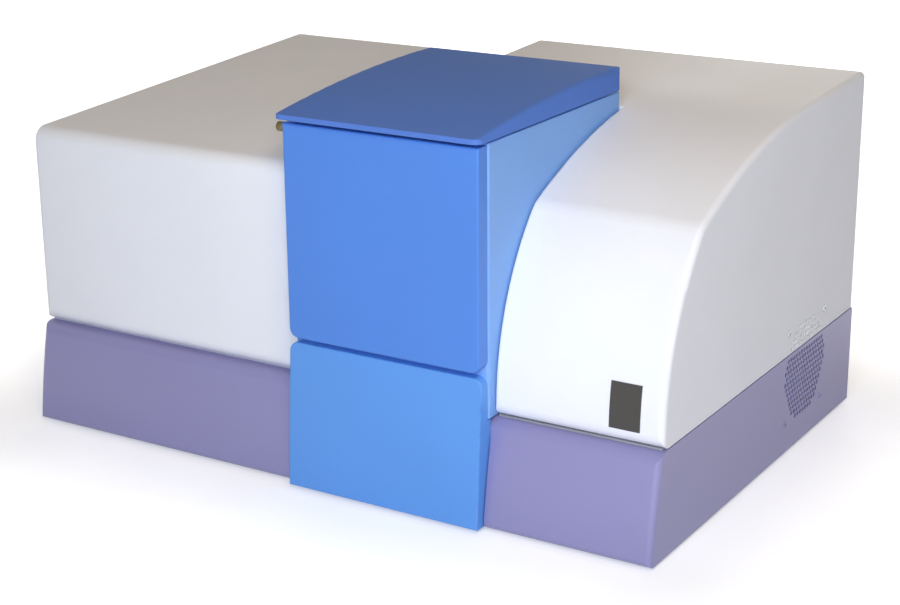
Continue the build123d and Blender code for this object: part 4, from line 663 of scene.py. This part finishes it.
def fan_screw_set(name, level, finish_name):
    """The two screws at one level: bare steel above the seam, painted below it."""
    places = [
        place for place in fan_screw_places() if abs(place.translation.z - level) < SAME_LEVEL
    ]
    unit = socket_screw(FAN_SCREW_PROFILE, M4_SOCKET, M4_SOCKET_DEPTH, FAN_SCREW_PROFILE[-1][1])
    return piece(
        name, stamp(unit, places), "instrument", "steel_fixing", FINISHES[finish_name]
    )


upper_level = FAN_SCREWS[1][2] - COUNTERSINK_HEAD * MM
lower_level = FAN_SCREWS[0][2] + COUNTERSINK_HEAD * MM
upper_fan_screws = fan_screw_set("fan_screws_upper", upper_level, "steel_fixing")
fan_screw_set("fan_screws_lower", lower_level, "base_lilac")
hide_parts("fan_screws")


# %% Cover screws at the back
COVER_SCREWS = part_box("cover_screws")
COVER_SCREW_XS = (-0.279, -0.051, 0.0105, 0.279)
PAN_HEAD = 3.8

COVER_SCREW_PROFILE = [
    (0, -9.0), (1.6, -9.0), (2.0, -8.5), (2.0, 0), (PAN_HEAD, 0),
    (PAN_HEAD, 0.9), (3.55, 1.5), (3.0, 1.95), (2.4, 2.15), (2.2, 2.18),
]
cover_screw_unit = socket_screw(
    COVER_SCREW_PROFILE, M4_SOCKET, M4_SOCKET_DEPTH, COVER_SCREW_PROFILE[-1][1]
)
back_plane = COVER_RIGHT[1][1]
screw_height = (COVER_SCREWS[0][2] + COVER_SCREWS[1][2]) / 2
cover_screw_heads = piece(
    "cover_screw_heads",
    stamp(cover_screw_unit, [at(x, back_plane, screw_height, "+Y") for x in COVER_SCREW_XS]),
    "instrument",
    "steel_fixing",
)
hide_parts("cover_screws")


# %% Hinge screws
FIXED_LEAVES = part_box("hinge_fixed_leaves")
LID_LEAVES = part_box("hinge_lid_leaves")
HINGE_XS = (0.018, 0.124)
HINGE_SCREW_REACH = 0.0145
LEAF_THICK = 0.0012
FIXED_SCREW_RISE = 0.0028    # above the fixed leaf's lower edge
LID_SCREW_DROP = 0.0036      # below the lid leaf's upper edge

HINGE_SCREW_PROFILE = [(0, -0.1), (1.7, -0.1), (1.7, 0.15), (1.5, 0.35), (0.95, 0.42)]


def hinge_screws(name, leaf_box, height, body):
    unit = socket_screw(HINGE_SCREW_PROFILE, 0.8, 0.3, HINGE_SCREW_PROFILE[-1][1])
    face = leaf_box[0][1] + LEAF_THICK
    xs = [x + side * HINGE_SCREW_REACH for x in HINGE_XS for side in (-1, 1)]
    return piece(name, stamp(unit, [at(x, face, height, "+Y") for x in xs]), body, "steel_fixing")


fixed_level = FIXED_LEAVES[0][2] + FIXED_SCREW_RISE
lid_level = LID_LEAVES[1][2] - LID_SCREW_DROP
hinge_screws("hinge_screws_fixed", FIXED_LEAVES, fixed_level, "instrument")
hinge_screws("hinge_screws_lid", LID_LEAVES, lid_level, "lid")


# %% [markdown]
# ## Rear sockets
#
# The mains inlet has three plated blades, the square data socket has four gold contacts
# on its tongue, and each trigger jack has a centre contact in a white insulator and two
# bayonet lugs. The solids carry the bodies. These small metal parts are slabs and turned
# pins, stamped at their places, which are measured from the solids' own boxes.

# %% Mains blades
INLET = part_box("power_inlet")
inlet_x = (INLET[0][0] + INLET[1][0]) / 2
socket_z = (INLET[0][2] + INLET[1][2]) / 2
plate_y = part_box("rear_io_plate")[1][1]
BLADE_PLACES = ((-7.0, -1.5), (0.0, 2.5), (7.0, -1.5))
BLADE_SIZE = (2.16, 12.0, 4.16)

BLADE_PROUD = 0.2        # tips in front of the socket plate

blade_y = plate_y - (BLADE_SIZE[1] / 2 - BLADE_PROUD) * MM
blade_spots = [at(inlet_x + x * MM, blade_y, socket_z + z * MM) for x, z in BLADE_PLACES]
piece("inlet_blades", stamp(slab(BLADE_SIZE, 0.5, 3), blade_spots), "instrument", "steel_fixing")


# %% Data socket contacts
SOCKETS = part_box("data_sockets")
DATA_HALF_WIDTH = 0.006
CONTACT_INSET = 0.0043       # middle of a contact behind the plate's face
CONTACT_X = 0.00125          # each contact from the middle of the tongue
CONTACT_Z = 0.00162
CONTACT_SIZE = (1.1, 7.6, 0.16)

data_x = SOCKETS[1][0] - DATA_HALF_WIDTH
gold = bright_fixing("contact_gold", linear(214, 176, 96))
contact_spots = [
    at(data_x + x, plate_y - CONTACT_INSET, socket_z + z)
    for x in (-CONTACT_X, CONTACT_X)
    for z in (-CONTACT_Z, CONTACT_Z)
]
contact = slab(CONTACT_SIZE, 0.05)
piece("data_contacts", stamp(contact, contact_spots), "instrument", "steel_fixing", gold)


# %% Trigger jacks
JACK_XS = (SOCKETS[0][0] + 0.0046, SOCKETS[0][0] + 0.0146)
JACK_TIP = SOCKETS[1][1]
LUG_REACH = 0.0032           # lug from the jack's axis
LUG_INSET = 0.0024           # lug behind the jack's tip

INSULATOR_PROFILE = [
    (0.8, -7.9), (2.38, -7.9), (2.38, -2.2), (2.1, -1.9), (1.1, -1.9), (0.8, -2.2), (0.8, -7.9),
]
CENTRE_PROFILE = [
    (0, -7.9), (0.75, -7.9), (0.75, -1.3), (0.6, -1.1), (0.35, -1.1), (0.3, -3), (0, -3),
]
LUG_PROFILE = [(0, -0.6), (0.85, -0.6), (0.85, 0.65), (0.7, 0.8), (0, 0.8)]
jack_fronts = [at(x, JACK_TIP, socket_z, "+Y") for x in JACK_XS]
white_plastic = textured_paint("insulator_white", linear(232, 230, 224), 0.45, grain=4000.0)
insulators = stamp(turned(INSULATOR_PROFILE, 24), jack_fronts)
piece("jack_insulators", insulators, "instrument", "trim_grey", white_plastic)
centres = stamp(turned(CENTRE_PROFILE, 16), jack_fronts)
piece("jack_centres", centres, "instrument", "steel_fixing", gold)
lug_spots = [
    at(x + side * LUG_REACH, JACK_TIP - LUG_INSET, socket_z, "+X" if side > 0 else "-X")
    for x in JACK_XS
    for side in (-1, 1)
]
piece("jack_lugs", stamp(turned(LUG_PROFILE, 16), lug_spots), "instrument", "steel_fixing")


# %% [markdown]
# ## Order filters
#
# Each opening of the wheel holds a different glass, from clear to deep red, with a ground
# bevel round its rim. They share one profile and differ in colour only.

# %% Order filters
FILTER_COLOURS = {
    "clear": linear(236, 242, 244),
    "straw": linear(238, 228, 150),
    "yellow": linear(240, 206, 60),
    "amber": linear(232, 150, 40),
    "orange": linear(222, 96, 34),
    "red": linear(168, 30, 30),
}
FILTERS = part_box("order_filters")
FILTER_RADIUS = 8.97
FILTER_THICK = 2.0
FILTER_CIRCLE = 25.0
FIRST_FILTER, FILTER_STEP = 90, 60   # degrees round the wheel


def filter_disc():
    half, rim = FILTER_THICK / 2, 0.3
    return turned([
        (0, -half), (FILTER_RADIUS - rim, -half), (FILTER_RADIUS, -half + rim),
        (FILTER_RADIUS, half - rim), (FILTER_RADIUS - rim, half), (0, half),
    ])


wheel_y = (FILTERS[0][1] + FILTERS[1][1]) / 2
wheel_z = (FILTERS[0][2] + FILTERS[1][2]) / 2
glass_x = (FILTERS[0][0] + FILTERS[1][0]) / 2
for index, (word, colour) in enumerate(FILTER_COLOURS.items()):
    angle = math.radians(FIRST_FILTER + FILTER_STEP * index)
    y = wheel_y + FILTER_CIRCLE * MM * math.cos(angle)
    z = wheel_z + FILTER_CIRCLE * MM * math.sin(angle)
    glass = coloured_glass("filter_" + word, colour)
    disc = stamp(filter_disc(), [at(glass_x, y, z, "+X")])
    made = piece("order_filter_" + word, disc, "filter_carousel", "filter_glass", glass)
    if index == 0:
        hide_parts("order_filters")


# %% [markdown]
# ## Arc lamp
#
# A short-arc lamp is a thick silica bulb with two tungsten electrodes nearly touching in
# its middle, and a brass cap at each end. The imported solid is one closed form, so the
# lamp is turned again here as bulb, electrodes and caps.

# %% Arc lamp
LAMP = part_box("xenon_lamp")
lamp_x = (LAMP[0][0] + LAMP[1][0]) / 2
lamp_y = (LAMP[0][1] + LAMP[1][1]) / 2
LAMP_HEIGHT = (LAMP[1][2] - LAMP[0][2]) / MM
ARC_HEIGHT = 93.0        # beam above the lamp's lower cap
BULB = 11.8
STEM = 4.4               # radius of the stems above and below the bulb
STEM_REACH = 34          # arc to the end of a stem
BULB_OPEN = 68           # degrees from the bulb's waist to its stems
BULB_STEPS = 12
CAP_START = 33.9         # arc to the start of a cap, a little over the stem
ELECTRODE_TIP = 1.2      # half of the arc gap


def bulb_profile():
    points = [(0, ARC_HEIGHT - STEM_REACH), (STEM, ARC_HEIGHT - STEM_REACH)]
    for step in range(BULB_STEPS + 1):
        angle = math.radians(-BULB_OPEN + 2 * BULB_OPEN * step / BULB_STEPS)
        points.append((BULB * math.cos(angle), ARC_HEIGHT + BULB * math.sin(angle)))
    return points + [(STEM, ARC_HEIGHT + STEM_REACH), (0, ARC_HEIGHT + STEM_REACH)]


def electrode_profile(tip, back, flip):
    """Pointed rod from the arc back to its cap."""
    low, high = ARC_HEIGHT + flip * tip, ARC_HEIGHT + flip * back
    return [
        (0, low), (0.8, low + flip * 0.4), (2.6, low + flip * 3.2), (2.6, low + flip * 9.0),
        (1.4, low + flip * 10.0), (1.4, high), (0, high),
    ]


def cap_profile(low, high):
    rim = 0.8
    return [
        (0, low), (7.2, low), (8.0, low + rim), (8.0, high - 7.0), (7.2, high - 6.2),
        (7.2, high - 4.4), (8.0, high - 3.6), (8.0, high - rim), (7.2, high), (0, high),
    ]


brass = bright_fixing("lamp_brass", linear(196, 160, 92))
tungsten = bright_fixing("lamp_tungsten", linear(122, 122, 128))
stand = [at(lamp_x, lamp_y, LAMP[0][2])]
lamp_bulb = piece("lamp_bulb", stamp(turned(bulb_profile()), stand), "instrument", "silica")
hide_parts("xenon_lamp")
electrodes = stamp(turned(electrode_profile(ELECTRODE_TIP, STEM_REACH, 1)), stand)
electrodes = stamp(turned(electrode_profile(ELECTRODE_TIP, STEM_REACH, -1)), stand, electrodes)
piece("lamp_electrodes", electrodes, "instrument", "steel_fixing", tungsten)
caps = stamp(turned(cap_profile(0.0, ARC_HEIGHT - CAP_START)), stand)
caps = stamp(turned(cap_profile(ARC_HEIGHT + CAP_START, LAMP_HEIGHT)), stand, caps)
piece("lamp_caps", caps, "instrument", "steel_fixing", brass)


# %% [markdown]
# ## Camera
#
# The camera stands to the right of the front and a little above the lid. A long lens keeps
# the upright edges nearly parallel, which suits a catalogue view.

# %% Camera
CAMERA_PLACE = Vector((0.85537, -1.37894, 0.63655))
VIEW_YAW, VIEW_PITCH, VIEW_ROLL = 31.65, -18.10, -0.49
FOCAL_LENGTH = 75.17

camera_data = bpy.data.cameras.new("studio_camera")
camera = bpy.data.objects.new("studio_camera", camera_data)
bpy.context.scene.collection.objects.link(camera)
camera_data.lens = FOCAL_LENGTH
camera_data.sensor_width = 36.0
camera_data.clip_start = 0.05
camera.location = CAMERA_PLACE
heading = Matrix.Rotation(math.radians(VIEW_YAW), 4, "Z")
tilt = Matrix.Rotation(math.radians(90 + VIEW_PITCH), 4, "X")
roll = Matrix.Rotation(math.radians(VIEW_ROLL), 4, "Z")
camera.rotation_euler = (heading @ tilt @ roll).to_euler()
bpy.context.scene.camera = camera
print("camera lens", camera_data.lens)


# %% [markdown]
# ## White ground
#
# A catalogue view stands on white. More light would also bleach the object, so the white
# comes from the floor and the world themselves, and only for rays that look at them: rays
# from the camera, and reflected or refracted rays. Light that falls on the object is not
# changed. The floor's own glow grows with the distance from the object, so its far part
# is white and the part beside the object keeps a soft shadow.

# %% Rays that look at the ground
def looking_rays(tree):
    """Socket that is 1 for camera, glossy and transmission rays, else 0."""
    path = tree.nodes.new("ShaderNodeLightPath")
    either = tree.nodes.new("ShaderNodeMath")
    any_of = tree.nodes.new("ShaderNodeMath")
    either.operation = any_of.operation = "MAXIMUM"
    tree.links.new(path.outputs["Is Camera Ray"], either.inputs[0])
    tree.links.new(path.outputs["Is Glossy Ray"], either.inputs[1])
    tree.links.new(either.outputs["Value"], any_of.inputs[0])
    tree.links.new(path.outputs["Is Transmission Ray"], any_of.inputs[1])
    return any_of.outputs["Value"]


# %% Floor
HALF_WIDTH, HALF_DEPTH = CAD_BOX[1][0], CAD_BOX[1][1]
GLOW_NEAR, GLOW_FAR = 0.40, 1.0
GLOW_REACH = (0.01, 0.30)


def floor_material():
    finish = Finish("studio_floor", linear(236, 236, 238), 0.75)
    grain = finish.noise(12.0, 3.0)
    tint = finish.ramp(grain, "Fac", [(0.3, linear(233, 233, 235)), (0.7, linear(239, 239, 241))])
    finish.wire(tint, "Color", finish.shader, "Base Color")

    across = finish.node("VectorMath", operation="ABSOLUTE")
    beyond = finish.node("VectorMath", operation="SUBTRACT")
    beyond.inputs[1].default_value = (HALF_WIDTH, HALF_DEPTH, 0)
    outside = finish.node("VectorMath", operation="MAXIMUM")
    far = finish.node("VectorMath", operation="LENGTH")
    finish.wire(finish.coords, "Object", across, 0)
    finish.wire(across, "Vector", beyond, 0)
    finish.wire(beyond, "Vector", outside, 0)
    finish.wire(outside, "Vector", far, 0)

    glow = finish.node("MapRange", interpolation_type="SMOOTHSTEP")
    for socket, value in zip(("From Min", "From Max"), GLOW_REACH):
        glow.inputs[socket].default_value = value
    glow.inputs["To Min"].default_value = GLOW_NEAR
    glow.inputs["To Max"].default_value = GLOW_FAR
    finish.wire(far, "Value", glow, "Value")
    seen = finish.node("Math", operation="MULTIPLY")
    finish.wire(glow, "Result", seen, 0)
    finish.tree.links.new(looking_rays(finish.tree), seen.inputs[1])
    finish.shader.inputs["Emission Color"].default_value = (1, 1, 1, 1)
    finish.wire(seen, "Value", finish.shader, "Emission Strength")
    return finish.material


bm = bmesh.new()
bmesh.ops.create_grid(bm, x_segments=1, y_segments=1, size=6.0)
floor_mesh = bpy.data.meshes.new("studio_floor")
bm.to_mesh(floor_mesh)
bm.free()
floor = bpy.data.objects.new("studio_floor", floor_mesh)
bpy.context.scene.collection.objects.link(floor)
floor.data.materials.append(floor_material())


# %% [markdown]
# ## Soft light
#
# A large cool key stands close on the front's right, so the fronts are the brightest
# faces. A smaller warm key above it carries the light over the curved cover's shoulder. A
# broad warm lamp overhead gives the tops a warm grey, and lamps at the side, the rear and
# the left keep the other faces readable when the view goes round.

# %% Lights
def soft_light(name, place, target, width, power, colour):
    data = bpy.data.lights.new(name, "AREA")
    data.shape = "SQUARE"
    data.size = width
    data.energy = power
    data.color = colour
    lamp = bpy.data.objects.new(name, data)
    bpy.context.scene.collection.objects.link(lamp)
    lamp.location = place
    aim = Vector(target) - Vector(place)
    lamp.rotation_euler = aim.to_track_quat("-Z", "Y").to_euler()
    return lamp


soft_light("key", (0.62, -1.34, 0.65), (0.10, -0.1, 0.19), 0.6, 14.4, (0.745, 0.84, 1.0))
soft_light("high_key", (0.90, -1.00, 1.30), (0.15, -0.05, 0.2), 0.5, 6.9, (1.0, 0.82, 0.52))
soft_light("side", (2.0, -0.2, 0.5), (0.3, 0, 0.15), 1.0, 4.2, (0.60, 0.73, 1.0))
soft_light("top", (0.0, 0.3, 2.4), (0, 0, 0.2), 1.6, 4.8, (1.0, 0.60, 0.24))
soft_light("rear", (-0.4, 2.2, 0.3), (0, 0.1, 0.15), 1.0, 17.0, (1.0, 1.0, 1.0))
soft_light("left", (-2.2, 0.2, 0.3), (-0.2, 0, 0.15), 1.0, 9.0, (1.0, 1.0, 1.0))
print("lamps:", len(bpy.data.lights))


# %% [markdown]
# ## Room
#
# The room itself gives a little even light, so no hollow is quite black. It shows as
# white only to the rays that look at it, by the same test as the floor.

# %% World
ROOM_STRENGTH = 0.045


def studio_world():
    world = bpy.data.worlds.new("studio_world")
    bpy.context.scene.world = world
    world.use_nodes = True
    tree = world.node_tree
    tree.nodes.clear()
    output = tree.nodes.new("ShaderNodeOutputWorld")
    mix = tree.nodes.new("ShaderNodeMixShader")
    room = tree.nodes.new("ShaderNodeBackground")
    white = tree.nodes.new("ShaderNodeBackground")
    room.inputs["Color"].default_value = (1, 1, 1, 1)
    room.inputs["Strength"].default_value = ROOM_STRENGTH
    white.inputs["Color"].default_value = (1, 1, 1, 1)
    white.inputs["Strength"].default_value = 1.0
    tree.links.new(looking_rays(tree), mix.inputs["Fac"])
    tree.links.new(room.outputs["Background"], mix.inputs[1])
    tree.links.new(white.outputs["Background"], mix.inputs[2])
    tree.links.new(mix.outputs["Shader"], output.inputs["Surface"])


studio_world()
bpy.context.scene.view_settings.view_transform = "Standard"
